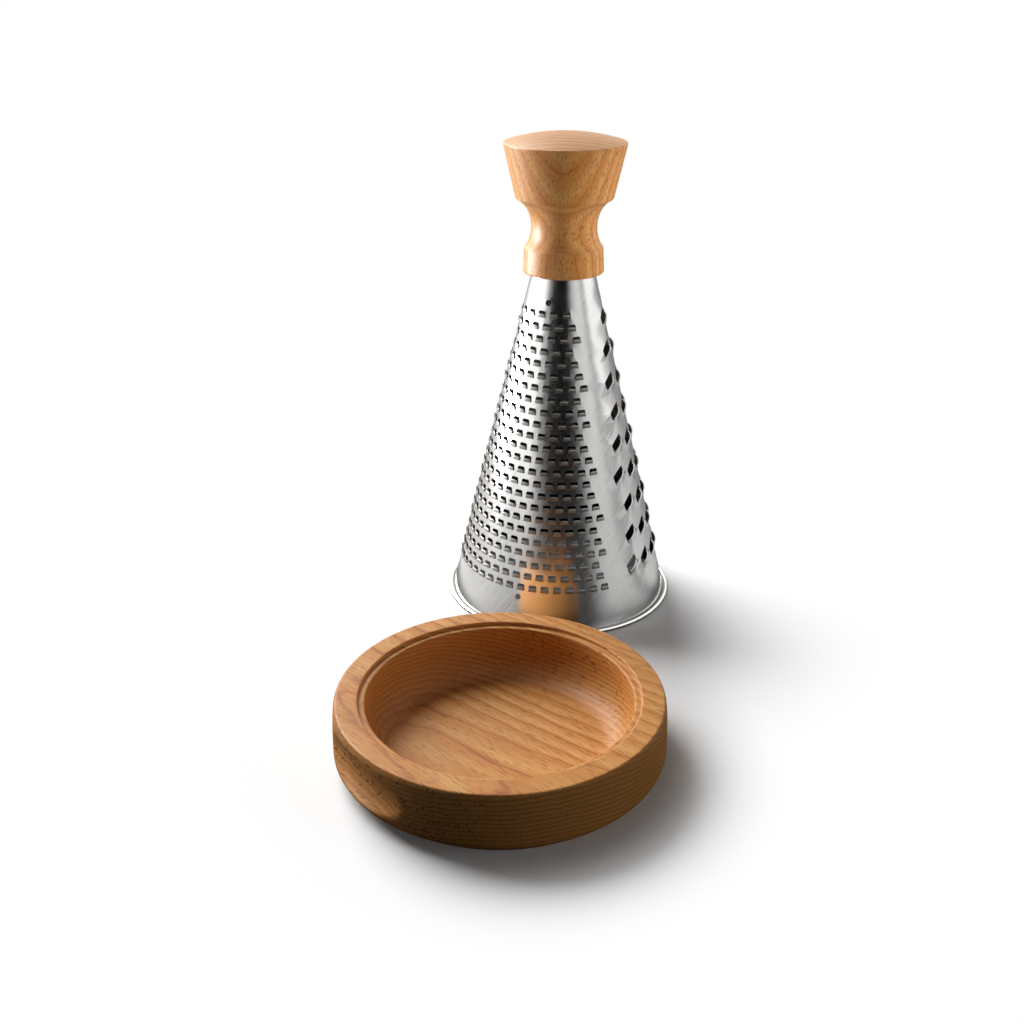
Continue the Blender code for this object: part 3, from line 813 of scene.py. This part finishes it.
    def punch_coarse(self, angle: float, z: float) -> None:
        """Punches one coarse tooth: slanting slot, arched lower lip and the scoop below it.

        Args:
            angle: Angle of the tooth.
            z: Its height.
        """
        left, right = Vector(self.coarse_lip_left), Vector(self.coarse_lip_right)
        steps, corner = self.coarse_lip_steps, self.coarse_corner
        shares = [i / steps for i in range(-steps, steps + 1)]
        hole = []
        for a in shares:
            place = self.beside(angle, z, *left.lerp(right, (a + 1) / 2))
            hole.append(self.add(*place, self.coarse_swell(a)))
        top = [(*self.coarse_top_right, corner), (*self.coarse_top_left, corner)]
        upper = eased([(*right, 0.0), *top, (*left, 0.0)], self.corner_steps)[1:-1]
        hole += [self.add(*self.beside(angle, z, x, y)) for x, y in upper]
        self.holes.append(hole)
        for b in self.coarse_scoop_rows:
            for a in shares[1:-1]:
                reach = (self.coarse_scoop + self.coarse_scoop_slope * a) * math.sqrt(1 - a * a)
                point = left.lerp(right, (a + 1) / 2) - Vector((0.0, reach * b))
                lift = self.coarse_swell(a) * (1 - b) ** self.coarse_scoop_fall
                self.add(*self.beside(angle, z, *point), lift)

    def coarse_swell(self, a: float) -> float:
        """How far the lip of a coarse tooth stands off the wall, from -1 to 1 along it."""
        return self.coarse_lift * max(0.0, 1 - a * a) ** self.coarse_lip_arch

    def sheet_mesh(self) -> bmesh.types.BMesh:
        """Divides the blank between its holes and rolls it.

        Returns:
            The mesh of the outer face.
        """
        edge = self.outline()
        for tooth in self.fine_teeth():
            self.punch_fine(*tooth)
        for tooth in self.coarse_teeth():
            self.punch_coarse(*tooth)
        self.punch_pilot(self.handle_bottom_z - self.pilot_below_handle)
        self.punch_pilot(self.foot_z + self.pilot_above_foot)
        self.fill()
        cut = delaunay_2d_cdt(self.flat, [], [edge, *self.holes], 0, WELD_DISTANCE, True)
        _, _, faces, sources, _, owners = cut
        mesh = bmesh.new()
        made = [mesh.verts.new(self.rolled(self.flat[own[0]], self.lifts[own[0]])) for own in sources]
        layer = mesh.loops.layers.uv.new(BLANK_UV)
        for face, owner in zip(faces, owners):
            if list(owner) != [0]:
                continue
            new = mesh.faces.new([made[number] for number in face])
            for loop, number in zip(new.loops, face):
                loop[layer].uv = self.flat[sources[number][0]] / BLANK_UV_SPAN
        return mesh

    def bend_tabs(self, mesh: bmesh.types.BMesh) -> None:
        """Adds each fine tooth's tab, curling off the wall from its hinge to its arched cutting edge.

        Args:
            mesh: The sheet's outer face.
        """
        layer = mesh.loops.layers.uv[BLANK_UV]
        steps = self.fine_tab_steps
        for angle, z in self.fine_teeth():
            row, flats = [], []
            for step, risen in self.fine_tab_curve:
                half = self.fine_tab_width * (1 - self.fine_tab_taper * step) / 2
                next_row, next_flats = [], []
                for i in range(steps + 1):
                    u = 2 * i / steps - 1
                    up = (self.fine_tab_height - self.fine_tab_arch * u * u) * step - self.fine_height / 2
                    lift = self.fine_tab_lift * risen * (1 - self.fine_tab_droop * u**4)
                    next_flats.append(self.place(*self.beside(angle, z, half * u, up)))
                    next_row.append(mesh.verts.new(self.rolled(next_flats[-1], lift)))
                for i in range(len(row) - 1):
                    face = mesh.faces.new((row[i], row[i + 1], next_row[i + 1], next_row[i]))
                    # The tab's darker tint is painted shade.
                    face.material_index = Side.PAINTED_SHADE.value
                    around = (flats[i], flats[i + 1], next_flats[i + 1], next_flats[i])
                    for loop, flat in zip(face.loops, around):
                        loop[layer].uv = flat / BLANK_UV_SPAN
                creased = (step, risen) == self.fine_tab_curve[1]
                row = [mesh.verts.new(vert.co) for vert in next_row] if creased else next_row
                flats = next_flats

    def roll_rim(self, mesh: bmesh.types.BMesh) -> None:
        """Carries the sheet from the foot down into the groove and round into the rolled rim.

        Args:
            mesh: The sheet's outer face.
        """
        layer = mesh.loops.layers.uv[BLANK_UV]
        centre, reach = (self.foot_radius + self.roll_offset, self.roll_radius), (self.roll_radius,) * 2
        roll = arc(centre, reach, self.roll_start, self.roll_end, self.roll_steps)
        before = (self.foot_radius, self.foot_z)
        groove = (self.foot_radius + self.groove_offset, self.groove_z, self.groove_round)
        profile = eased([(*before, 0.0), groove, (*roll[0], 0.0)], self.groove_round_steps)[1:-1]
        slant = self.place(0.0, self.foot_z).length
        loose = [edge for edge in mesh.edges if self.at_foot(edge)]
        for step, (radius, z) in enumerate((*profile, *roll)):
            slant += math.dist(before, (radius, z))
            before = (radius, z)
            grown = bmesh.ops.extrude_edge_only(mesh, edges=loose)["geom"]
            # The groove's darker tint is painted shade; the roll keeps the bright face.
            side = Side.PAINTED_SHADE if step < len(profile) + self.groove_steps else Side.FACE
            for face in (item for item in grown if isinstance(item, bmesh.types.BMFace)):
                face.material_index = side.value
            fresh = [item for item in grown if isinstance(item, bmesh.types.BMVert)]
            loose = [item for item in grown if isinstance(item, bmesh.types.BMEdge)]
            for vert in fresh:
                spread = radius / vert.co.xy.length
                vert.co = (vert.co.x * spread, vert.co.y * spread, z)
                turn = math.atan2(vert.co.x, -vert.co.y) * math.sin(self.flare)
                for loop in vert.link_loops:
                    loop[layer].uv = Vector((math.cos(turn), math.sin(turn))) * slant / BLANK_UV_SPAN

    def at_foot(self, edge: bmesh.types.BMEdge) -> bool:
        """True for an edge of the wall's foot."""
        low = all(abs(vert.co.z - self.foot_z) < WELD_DISTANCE for vert in edge.verts)
        return low and edge.is_boundary

    def thicken(self, outer: bmesh.types.BMesh) -> bpy.types.Mesh:
        """Gives the sheet its thickness, its cut edges and true normals on the plain cone.

        Args:
            outer: The sheet's outer face, which is used up.

        Returns:
            The closed mesh.
        """
        outer.normal_update()
        outer.verts.index_update()
        layer = outer.loops.layers.uv[BLANK_UV]
        normals = [self.wall_normal(vert) for vert in outer.verts]
        points = [vert.co.copy() for vert in outer.verts]
        count = len(points)
        points += [point - normal * self.sheet for point, normal in zip(points, normals)]
        faces, uvs, sides = [], [], []
        for face in outer.faces:
            ring = [vert.index for vert in face.verts]
            texture = [loop[layer].uv.copy() for loop in face.loops]
            faces += [ring, [i + count for i in reversed(ring)]]
            uvs += [texture, texture[::-1]]
            sides += [Side(face.material_index), Side.INSIDE]
        for edge in (edge for edge in outer.edges if edge.is_boundary):
            loop = edge.link_loops[0]
            ends = (loop, loop.link_loop_next)
            (a, near), (b, far) = ((end.vert.index, end[layer].uv.copy()) for end in ends)
            faces.append([b, a, a + count, b + count])
            uvs.append([far, near, near, far])
            sides.append(Side.CUT_EDGE)
        outer.free()
        mesh = bpy.data.meshes.new("grater_cone_shell")
        mesh.from_pydata(points, [], faces)
        corners = [value for ring in uvs for uv in ring for value in uv]
        mesh.uv_layers.new(name=BLANK_UV).data.foreach_set("uv", corners)
        mesh.polygons.foreach_set("material_index", [side.value for side in sides])
        mesh.polygons.foreach_set("use_smooth", [side is not Side.CUT_EDGE for side in sides])
        normals += [-normal for normal in normals]
        shown = []
        for polygon, side in zip(mesh.polygons, sides):
            cut = side is Side.CUT_EDGE
            shown += [polygon.normal.copy() if cut else normals[i] for i in polygon.vertices]
        mesh.normals_split_custom_set(shown)
        return mesh

    def wall_normal(self, vert: bmesh.types.BMVert) -> Vector:
        """Finds the normal of the outer face.

        Args:
            vert: A point of it.

        Returns:
            The plain cone's normal where the sheet is plain, else the mesh's own.
        """
        for face in vert.link_faces:
            if any(self.outward(other).dot(face.normal) <= self.plain_match for other in face.verts):
                return vert.normal.copy()
        return self.outward(vert)

    def outward(self, vert: bmesh.types.BMVert) -> Vector:
        """Normal of the plain cone beside a point."""
        flat = vert.co.xy.normalized() * math.cos(self.flare)
        return Vector((flat.x, flat.y, math.sin(self.flare)))

    def build(self) -> None:
        """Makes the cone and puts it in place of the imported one."""
        mesh = self.sheet_mesh()
        loose = [vert for vert in mesh.verts if vert.is_boundary]
        bmesh.ops.remove_doubles(mesh, verts=loose, dist=WELD_DISTANCE)
        self.bend_tabs(mesh)
        self.roll_rim(mesh)
        materials = [finish.build() for finish in self.finishes]
        show("punched_cone", self.thicken(mesh), self.axis, "grater", "grater_cone", *materials)


@dataclass
class TurnedHandle:
    """The handle: cup with a low dome, crease, hollow neck and collar, and the socket under it."""

    axis: Vector
    bottom_z: float = 0.18556
    collar_radius: float = 0.0215
    collar_top_radius: float = 0.0208
    collar_height: float = 0.0131
    collar_round: float = 0.0012
    neck_radius: float = 0.0173
    neck_lower: float = 0.0106
    neck_lower_sweep: float = 60.0
    neck_upper: float = 0.0144
    neck_upper_sweep: float = 70.0
    crease_radius: float = 0.0256
    crease_lip: float = 0.0006
    crease_round: float = 0.0009
    cup_radius: float = 0.0319
    cup_height: float = 0.0280
    dome_rise: float = 0.0048
    rim_round: float = 0.0007
    socket_low: float = 0.0171
    socket_high: float = 0.0138
    socket_depth: float = 0.0148
    socket_round: float = 0.0004
    longest_step: float = 0.0012
    dome_steps: int = 24
    neck_upper_steps: int = 22
    neck_lower_steps: int = 14
    segments: int = 192
    finish: OiledBeech = OiledBeech(
        "oiled_beech_handle",
        fibre=(0.03, 0.0, 1.0),
        growth=(0.148, -0.989, 0.0),
        ring_mm=4.7,
        ring_start_mm=19.0,
        ring_wander_mm=2.0,
        ray_cell_mm=(3.4, 0.72, 4.6),
        ray_strength=0.95,
        early="#D4A05E",
        body="#C08040",
        late="#98582C",
        shine=0.6,
    )

    def hollow(self, z: float, end_radius: float, height: float, sweep: float, steps: int) -> Path:
        """Draws one side of the hollow neck.

        Args:
            z: Height of the narrowest place.
            end_radius: Radius where the hollow ends.
            height: Its height from the narrowest place.
            sweep: Degrees that it turns by, below zero for the side that runs up.
            steps: Number of straight steps.

        Returns:
            Its points, from the narrowest place on.
        """
        turn = math.radians(abs(sweep))
        reach = ((end_radius - self.neck_radius) / (1 - math.cos(turn)), height / math.sin(turn))
        return arc((self.neck_radius + reach[0], z), reach, 180.0, 180.0 + sweep, steps)

    def profile(self) -> Path:
        """Draws the profile.

        Returns:
            Its points from the top of the dome, down the outside and up into the socket.
        """
        collar_z = self.bottom_z + self.collar_height
        neck_z = collar_z + self.neck_lower
        crease_z = neck_z + self.neck_upper
        cup_z = crease_z + self.cup_height
        socket_z = self.bottom_z + self.socket_depth
        dome_radius = (self.cup_radius**2 + self.dome_rise**2) / (2 * self.dome_rise)
        half = math.degrees(math.asin(self.cup_radius / dome_radius))
        dome_centre = (0.0, cup_z + self.dome_rise - dome_radius)
        dome = arc(dome_centre, (dome_radius, dome_radius), 90.0, 90.0 - half, self.dome_steps)
        lip, low = self.crease_radius - self.crease_lip, self.collar_top_radius
        upper = (lip, self.neck_upper, -self.neck_upper_sweep, self.neck_upper_steps)
        lower = (low, self.neck_lower, self.neck_lower_sweep, self.neck_lower_steps)
        corners = [
            *((r, z, 0.0) for r, z in dome[:-1]),
            (self.cup_radius, cup_z, self.rim_round),
            (self.crease_radius, crease_z + self.crease_lip, self.crease_round),
            *((r, z, 0.0) for r, z in self.hollow(neck_z, *upper)[::-1]),
            *((r, z, 0.0) for r, z in self.hollow(neck_z, *lower)[1:-1]),
            (self.collar_top_radius, collar_z, self.collar_round),
            (self.collar_radius, self.bottom_z, self.collar_round),
            (self.socket_low, self.bottom_z, self.socket_round),
            (self.socket_high, socket_z, 0.0),
            (0.0, socket_z, 0.0),
        ]
        return divided(eased(corners), self.longest_step)

    def build(self) -> None:
        """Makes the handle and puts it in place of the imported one."""
        mesh = lathe("turned_handle", self.profile(), self.segments)
        show("turned_handle", mesh, self.axis, "grater", "handle", self.finish.build())


@dataclass
class TurnedBowl:
    """The bowl: rebated mouth, rounded inside, full outer wall and one finger grip."""

    axis: Vector
    height: float = 0.0327
    radius: float = 0.0767
    top_radius: float = 0.0750
    top_round: float = 0.0011
    foot_radius: float = 0.0690
    foot_round: float = 0.0015
    full_z: float = 0.0091
    heel_radius: float = 0.0050
    heel_sweep: float = 48.4
    floor: float = 0.0070
    mouth_radius: float = 0.06454
    mouth_round: float = 0.0010
    ledge_radius: float = 0.06144
    ledge_round: float = 0.0009
    rebate_depth: float = 0.0018
    rebate_round: float = 0.0004
    inner_straight: float = 0.0080
    inner_round: float = 0.0150
    grip_angle: float = -44.5
    grip_z: float = 0.0183
    grip_depth: float = 0.0066
    grip_cutter_radius: float = 0.0114
    grip_softness: float = 0.0007
    grip_span: float = 1.2  # radians to each side, beyond which the cutter doesn't reach
    longest_step: float = 0.0011
    inner_steps: int = 22
    wall_steps: int = 24
    wall_steps_cut: int = 6  # they give their room to the rounding of the top
    heel_steps: int = 8
    segments: int = 360
    finish: OiledBeech = OiledBeech(
        "oiled_beech_bowl",
        fibre=(0.84, -0.54, 0.03),
        growth=(0.11, 0.17, 1.0),
        ring_mm=2.3,
        ring_wander_mm=3.6,
        ray_cell_mm=(9.0, 0.8, 3.0),
        early="#D29E5E",
        body="#C28242",
        late="#92522A",
        late_share=0.10,
        shine=0.22,
    )

    def profile(self) -> Path:
        """Draws the profile.

        Returns:
            Its points from the middle of the floor, over the rim and down to the underside.
        """
        ledge_z = self.height - self.rebate_depth
        round_z = ledge_z - self.inner_straight
        reach = (self.inner_round, round_z - self.floor)
        inner_centre = (self.ledge_radius - self.inner_round, round_z)
        inner = arc(inner_centre, reach, -90.0, 0.0, self.inner_steps)
        reach = (self.radius - self.top_radius, self.height - self.full_z)
        wall = arc((self.top_radius, self.full_z), reach, 90.0, 0.0, self.wall_steps)
        heel_centre, reach = (self.radius - self.heel_radius, self.full_z), (self.heel_radius,) * 2
        heel = arc(heel_centre, reach, 0.0, -self.heel_sweep, self.heel_steps)
        corners = [
            (0.0, self.floor, 0.0),
            *((r, z, 0.0) for r, z in inner),
            (self.ledge_radius, ledge_z, self.ledge_round),
            (self.mouth_radius, ledge_z, self.rebate_round),
            (self.mouth_radius, self.height, self.mouth_round),
            (self.top_radius, self.height, self.top_round),
            *((r, z, 0.0) for r, z in (*wall[self.wall_steps_cut :], *heel[1:])),
            (self.foot_radius, 0.0, self.foot_round),
            (0.0, 0.0, 0.0),
        ]
        return divided(eased(corners), self.longest_step)

    def gripped(self, angle: float, r: float, z: float) -> float:
        """Cuts the finger grip with a straight cutter that passes across the wall.

        Args:
            angle: Angle of a point of the turned bowl.
            r: Its radius.
            z: Its height.

        Returns:
            Its radius after the cut.
        """
        turn = math.radians((angle - self.grip_angle + 180.0) % 360.0 - 180.0)
        high = z - self.grip_z
        if r < self.foot_radius or abs(turn) > self.grip_span or abs(high) >= self.grip_cutter_radius:
            return r
        middle = self.radius - self.grip_depth + self.grip_cutter_radius
        cut = (middle - math.sqrt(self.grip_cutter_radius**2 - high**2)) / math.cos(turn)
        over = max(self.grip_softness - abs(r - cut), 0.0) / self.grip_softness
        return min(r, cut) - over * over * self.grip_softness / 4

    def build(self) -> None:
        """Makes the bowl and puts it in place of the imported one."""
        mesh = lathe("turned_bowl", self.profile(), self.segments, self.gripped)
        show("turned_bowl", mesh, self.axis, "bowl", "bowl", self.finish.build())


@dataclass(frozen=True)
class Fasteners:
    """The pressed cap, the washer and the screw that hold the handle on the cone."""

    finishes: tuple[tuple[str, SmallPartMetal], ...] = (
        # Pressed stainless is brighter, warmer and smoother than zinc plate.
        ("top_cap", SmallPartMetal("pressed_stainless", "#C9C8C6", "#B4B3B1", 0.30)),
        ("cap_washer", SmallPartMetal("zinc_plated_washer")),
        ("handle_screw", SmallPartMetal("zinc_plated_screw")),
    )

    def build(self) -> None:
        """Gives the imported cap, washer and screw their metal."""
        for node, finish in self.finishes:
            piece = bpy.data.objects[node]
            piece.data.materials.clear()
            piece.data.materials.append(finish.build())
            LOG.info("%s: dressed", node)


@dataclass(frozen=True)
class SoftLamp:
    """One far, wide lamp: where it stands round and above the set, its width and its strength."""

    name: str
    azimuth: float
    elevation: float
    spread: float
    strength: float
    mirrored: bool = True

    def build(self) -> None:
        """Makes the lamp. At strength 1 a white face square to it renders white."""
        light = bpy.data.lights.new(self.name, "SUN")
        light.angle = math.radians(self.spread)
        light.energy = math.pi * self.strength
        obj = bpy.data.objects.new(self.name, light)
        turn = Matrix.Rotation(math.radians(self.azimuth), 4, "Z")
        obj.matrix_world = turn @ Matrix.Rotation(math.radians(90.0 - self.elevation), 4, "X")
        obj.visible_glossy = self.mirrored
        bpy.context.scene.collection.objects.link(obj)


@dataclass(frozen=True)
class NarrowLamp:
    """One near lamp aimed at the handle, whose grid keeps its light off the floor and the bowl."""

    name: str
    azimuth: float
    strength: float
    distance: float = 0.45
    height: float = 0.20
    aim_height: float = 0.215
    size: float = 0.12
    spread: float = 38.0
    mirrored: bool = False

    def build(self, axis: Vector) -> None:
        """Makes the lamp.

        Args:
            axis: Foot of the axis that the lamp stands beside and is aimed at.
        """
        light = bpy.data.lights.new(self.name, "AREA")
        light.size = self.size
        light.spread = math.radians(self.spread)
        half = light.spread / 2
        gathered = math.tan(half) / (math.tan(half) - half)
        light.energy = self.strength * math.pi**2 * self.distance**2 / gathered
        obj = bpy.data.objects.new(self.name, light)
        turn = math.radians(self.azimuth)
        away = Vector((math.sin(turn), -math.cos(turn), 0.0)) * self.distance
        obj.location = axis + away + Vector((0.0, 0.0, self.height))
        aim = axis + Vector((0.0, 0.0, self.aim_height)) - obj.location
        obj.rotation_euler = aim.to_track_quat("-Z", "Y").to_euler()
        obj.visible_camera = False
        obj.visible_glossy = self.mirrored
        bpy.context.scene.collection.objects.link(obj)


@dataclass
class Studio:
    """Floor, light and camera."""

    bowl: Vector
    grater: Vector
    # Distances from an axis: where the floor starts to fade and is plain white, and where the
    # shade under the grater's rim ends in what metal mirrors.
    bowl_fade: Pair = (0.0767, 0.134)
    grater_fade: Pair = (0.0780, 0.200)
    contact: Pair = (0.0645, 0.086)
    floor_size: float = 12.0
    floor_roughness: float = 0.6
    floor_bounce: float = 0.55
    floor_lift: float = 0.025
    shade: float = 0.05
    focal_pixels: float = 1241.34
    camera_from_bowl: Place = (0.09623, -0.47036, 0.34334)
    camera_turn: float = 10.902
    camera_pitch: float = 24.632
    camera_roll: float = -0.0165
    far_lamps: tuple[SoftLamp, ...] = (
        SoftLamp("key_behind_left", -130.0, 36.0, 46.0, 1.50),
        SoftLamp("fill_right", 86.0, 6.0, 30.0, 0.20, False),
    )
    near_lamps: tuple[NarrowLamp, ...] = (
        NarrowLamp("side_left", -96.0, 6.2, size=0.30, mirrored=True),
        NarrowLamp("side_right", 94.0, 1.20),
        NarrowLamp("front", 8.0, 0.30),
    )
    ceiling: Pair = (0.62, 0.80)  # heights of a direction, up to which it whitens
    surround_gain: float = 1.2
    surround_lean: float = 95.0
    surround_lean_top: float = 0.30
    # What metal mirrors round the set: azimuth from the camera's direction, and brightness.
    surround: Stops = (
        (-180.0, "#C4C4C4"), (-128.0, "#C4C4C4"), (-108.0, "#FFFFFF"), (-46.0, "#FFFFFF"),
        (-27.0, "#8E8E8E"), (-11.0, "#1E1E1E"), (13.0, "#080808"), (35.0, "#101010"),
        (51.0, "#BCBCBC"), (69.0, "#D4D4D4"), (80.0, "#8A8A8A"), (90.0, "#F4F4F4"),
        (180.0, "#FFFFFF"),
    )
    # The same for the table, which lies in shade on the camera's side and on the right.
    table: Stops = (
        (-180.0, "#8C8C8C"), (-110.0, "#E0DEDA"), (-75.0, "#DCD6D0"), (-48.0, "#AEA69C"),
        (-25.0, "#544C44"), (34.0, "#4C4844"), (54.0, "#C0B8AE"), (72.0, "#C8C2BA"),
        (84.0, "#98948E"), (96.0, "#D2CCC4"), (110.0, "#BCB8B2"), (140.0, "#8A8884"),
        (180.0, "#7C7A78"),
    )

    def mirrored(self, tree: Tree, direction: Node | Socket, stops: Stops) -> Node:
        """Finds the brightness of what metal mirrors in a direction from the grater.

        Args:
            tree: Tree to add to.
            direction: Direction from the grater's foot.
            stops: Brightness by azimuth; they lean towards the right with the direction's height.

        Returns:
            The colour in that direction.
        """
        towards = Vector(self.camera_from_bowl) + self.bowl - self.grater
        turn = {"rotation_type": "Z_AXIS", "Angle": -math.atan2(towards.x, -towards.y)}
        turned = add_node(tree, "ShaderNodeVectorRotate", {**turn, "Vector": direction})
        right, back, up = add_node(tree, AXES, {0: turned}).outputs
        front = add_node(tree, MATH, {"operation": "MULTIPLY", 0: back, 1: -1.0})
        azimuth = add_node(tree, MATH, {"operation": "ARCTAN2", 0: right, 1: front})
        share = {"operation": "MULTIPLY_ADD", 0: azimuth, 1: 1 / math.tau, 2: 0.5}
        low = add_node(tree, MATH, {"operation": "MINIMUM", 0: up, 1: self.surround_lean_top})
        lean = {0: low, 1: self.surround_lean / 360, 2: add_node(tree, MATH, share)}
        leaning = add_node(tree, MATH, {"operation": "MULTIPLY_ADD", **lean})
        places = [(place / 360 + 0.5, code) for place, code in stops]
        return add_node(tree, RAMP, {"stops": places, "Fac": leaning})

    def seen(self, tree: Tree, path: Node) -> Node:
        """Finds where the camera sees a thing, itself or through glass, by the kind of ray."""
        rays = {0: path.outputs["Is Camera Ray"], 1: path.outputs["Is Transmission Ray"]}
        return add_node(tree, MATH, {"operation": "ADD", **rays})

    def near(self, tree: Tree, centre: Vector, reach: Pair, rise: str) -> Node:
        """Finds how far a place on the floor is from a piece.

        Args:
            tree: The floor's tree.
            centre: Foot of the piece's axis.
            reach: Distances at which the result is 0 and 1.
            rise: Kind of rise between them.

        Returns:
            The result, from 0 to 1.
        """
        place = add_node(tree, PLACE).outputs["Object"]
        away = add_node(tree, VECTORS, {"operation": "DISTANCE", 0: place, 1: centre})
        between = dict(zip(RANGE, reach), Value=away.outputs["Value"])
        return add_node(tree, MAP_RANGE, {"interpolation_type": rise, **between})

    def floor(self) -> None:
        """Lays a matt white floor, which takes the shadows near the set and fades to plain white."""
        bpy.ops.mesh.primitive_plane_add(size=self.floor_size)
        plane = bpy.context.active_object
        plane.name = "floor"
        material = bpy.data.materials.new("white_sweep")
        tree = bare_tree(material)
        path = add_node(tree, "ShaderNodeLightPath")
        seen, mirror = self.seen(tree, path), path.outputs["Is Glossy Ray"]
        place = add_node(tree, PLACE).outputs["Object"]
        from_grater = add_node(tree, VECTORS, {"operation": "SUBTRACT", 0: place, 1: self.grater})

        # In metal the floor mirrors as the shaded table, and goes dark where the grater stands.
        shaded = {"operation": "MULTIPLY", 0: mirror, 1: self.mirrored(tree, from_grater, self.table)}
        table = add_node(tree, MATH, shaded)
        white = add_node(tree, MATH, {"operation": "MAXIMUM", 0: seen, 1: table})
        clear = self.near(tree, self.grater, self.contact, "LINEAR")
        under = add_node(tree, MATH, {"operation": "MULTIPLY", 0: table, 1: clear})
        shown = add_node(tree, MATH, {"operation": "MAXIMUM", 0: seen, 1: under})

        # It throws back light as the surround falls on it, except into what metal mirrors.
        surround = self.mirrored(tree, from_grater, self.surround)
        thrown = add_node(tree, MATH, {"operation": "MULTIPLY", 0: surround, 1: self.floor_bounce})
        unmirrored = add_node(tree, MATH, {"operation": "SUBTRACT", 0: 1.0, 1: mirror})
        bounce = add_node(tree, MATH, {"operation": "MULTIPLY", 0: thrown, 1: unmirrored})
        lift = {"operation": "MULTIPLY", 0: seen, 1: self.floor_lift}
        lit = {
            "Base Color": add_node(tree, MATH, {"operation": "MAXIMUM", 0: shown, 1: bounce}),
            "Roughness": self.floor_roughness,
            "Specular IOR Level": 0.0,
            "Emission Color": linear(WHITE),
            "Emission Strength": add_node(tree, MATH, lift),
        }

        fades = ((self.bowl, self.bowl_fade), (self.grater, self.grater_fade))
        shares = (self.near(tree, centre, reach, "SMOOTHSTEP") for centre, reach in fades)
        far = add_node(tree, MATH, {"operation": "MULTIPLY", **dict(enumerate(shares))})
        either = add_node(tree, MATH, {"operation": "MAXIMUM", 0: seen, 1: mirror})
        mixed = {
            0: add_node(tree, MATH, {"operation": "MULTIPLY", 0: either, 1: far}),
            1: add_node(tree, PRINCIPLED, lit),
            2: add_node(tree, "ShaderNodeEmission", {"Strength": white}),
        }
        plane.data.materials.append(surfaced(material, add_node(tree, "ShaderNodeMixShader", mixed)))

    def world(self) -> None:
        """White world behind the set; metal mirrors the surround, and shade gets a little light."""
        world = bpy.data.worlds.new("studio")
        bpy.context.scene.world = world
        tree = bare_tree(world)
        path = add_node(tree, "ShaderNodeLightPath")
        direction = add_node(tree, PLACE).outputs["Generated"]
        up = add_node(tree, AXES, {0: direction}).outputs[2]
        ceiling = dict(zip(RANGE, self.ceiling), Value=up, interpolation_type="SMOOTHSTEP")
        sides = {0: self.mirrored(tree, direction, self.surround), 1: add_node(tree, MAP_RANGE, ceiling)}
        around = add_node(tree, MATH, {"operation": "MAXIMUM", **sides})
        bright = add_node(tree, MATH, {"operation": "MULTIPLY", 0: around, 1: self.surround_gain})
        dim = {0: path.outputs["Is Diffuse Ray"], 1: self.shade, 2: self.seen(tree, path)}
        shaded = add_node(tree, MATH, {"operation": "MULTIPLY_ADD", **dim})
        lit = {0: path.outputs["Is Glossy Ray"], 1: bright, 2: shaded}
        total = add_node(tree, MATH, {"operation": "MULTIPLY_ADD", **lit})
        shader = add_node(tree, "ShaderNodeBackground", {"Color": linear(WHITE), "Strength": total})
        add_node(tree, "ShaderNodeOutputWorld", {"Surface": shader})

    def camera(self) -> None:
        """Sets up the camera, at the photograph's viewing angle."""
        data = bpy.data.cameras.new("camera")
        data.sensor_width = SENSOR_WIDTH
        data.lens = SENSOR_WIDTH * self.focal_pixels / FRAME_PIXELS
        obj = bpy.data.objects.new("camera", data)
        turn = Matrix.Rotation(math.radians(self.camera_turn), 4, "Z")
        pitch = Matrix.Rotation(math.radians(90.0 - self.camera_pitch), 4, "X")
        roll = Matrix.Rotation(math.radians(self.camera_roll), 4, "Z")
        place = self.bowl + Vector(self.camera_from_bowl)
        obj.matrix_world = Matrix.Translation(place) @ turn @ pitch @ roll
        bpy.context.scene.collection.objects.link(obj)
        bpy.context.scene.camera = obj

    def build(self) -> None:
        """Sets up the floor, the light and the camera."""
        self.floor()
        self.world()
        for lamp in self.far_lamps:
            lamp.build()
        for lamp in self.near_lamps:
            lamp.build(self.grater)
        self.camera()
        bpy.context.scene.view_settings.view_transform = "Standard"


def main() -> None:
    """Builds the set in order and logs the number of imported nodes."""
    logging.basicConfig(level=logging.INFO, format="%(message)s")
    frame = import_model()
    PunchedCone(axis_of("handle")).build()
    TurnedHandle(axis_of("handle")).build()
    TurnedBowl(axis_of("bowl")).build()
    Fasteners().build()
    Studio(axis_of("bowl"), axis_of("handle")).build()
    LOG.info("nodes: %d", len(frame["nodes"]))


if __name__ == "__main__":
    main()
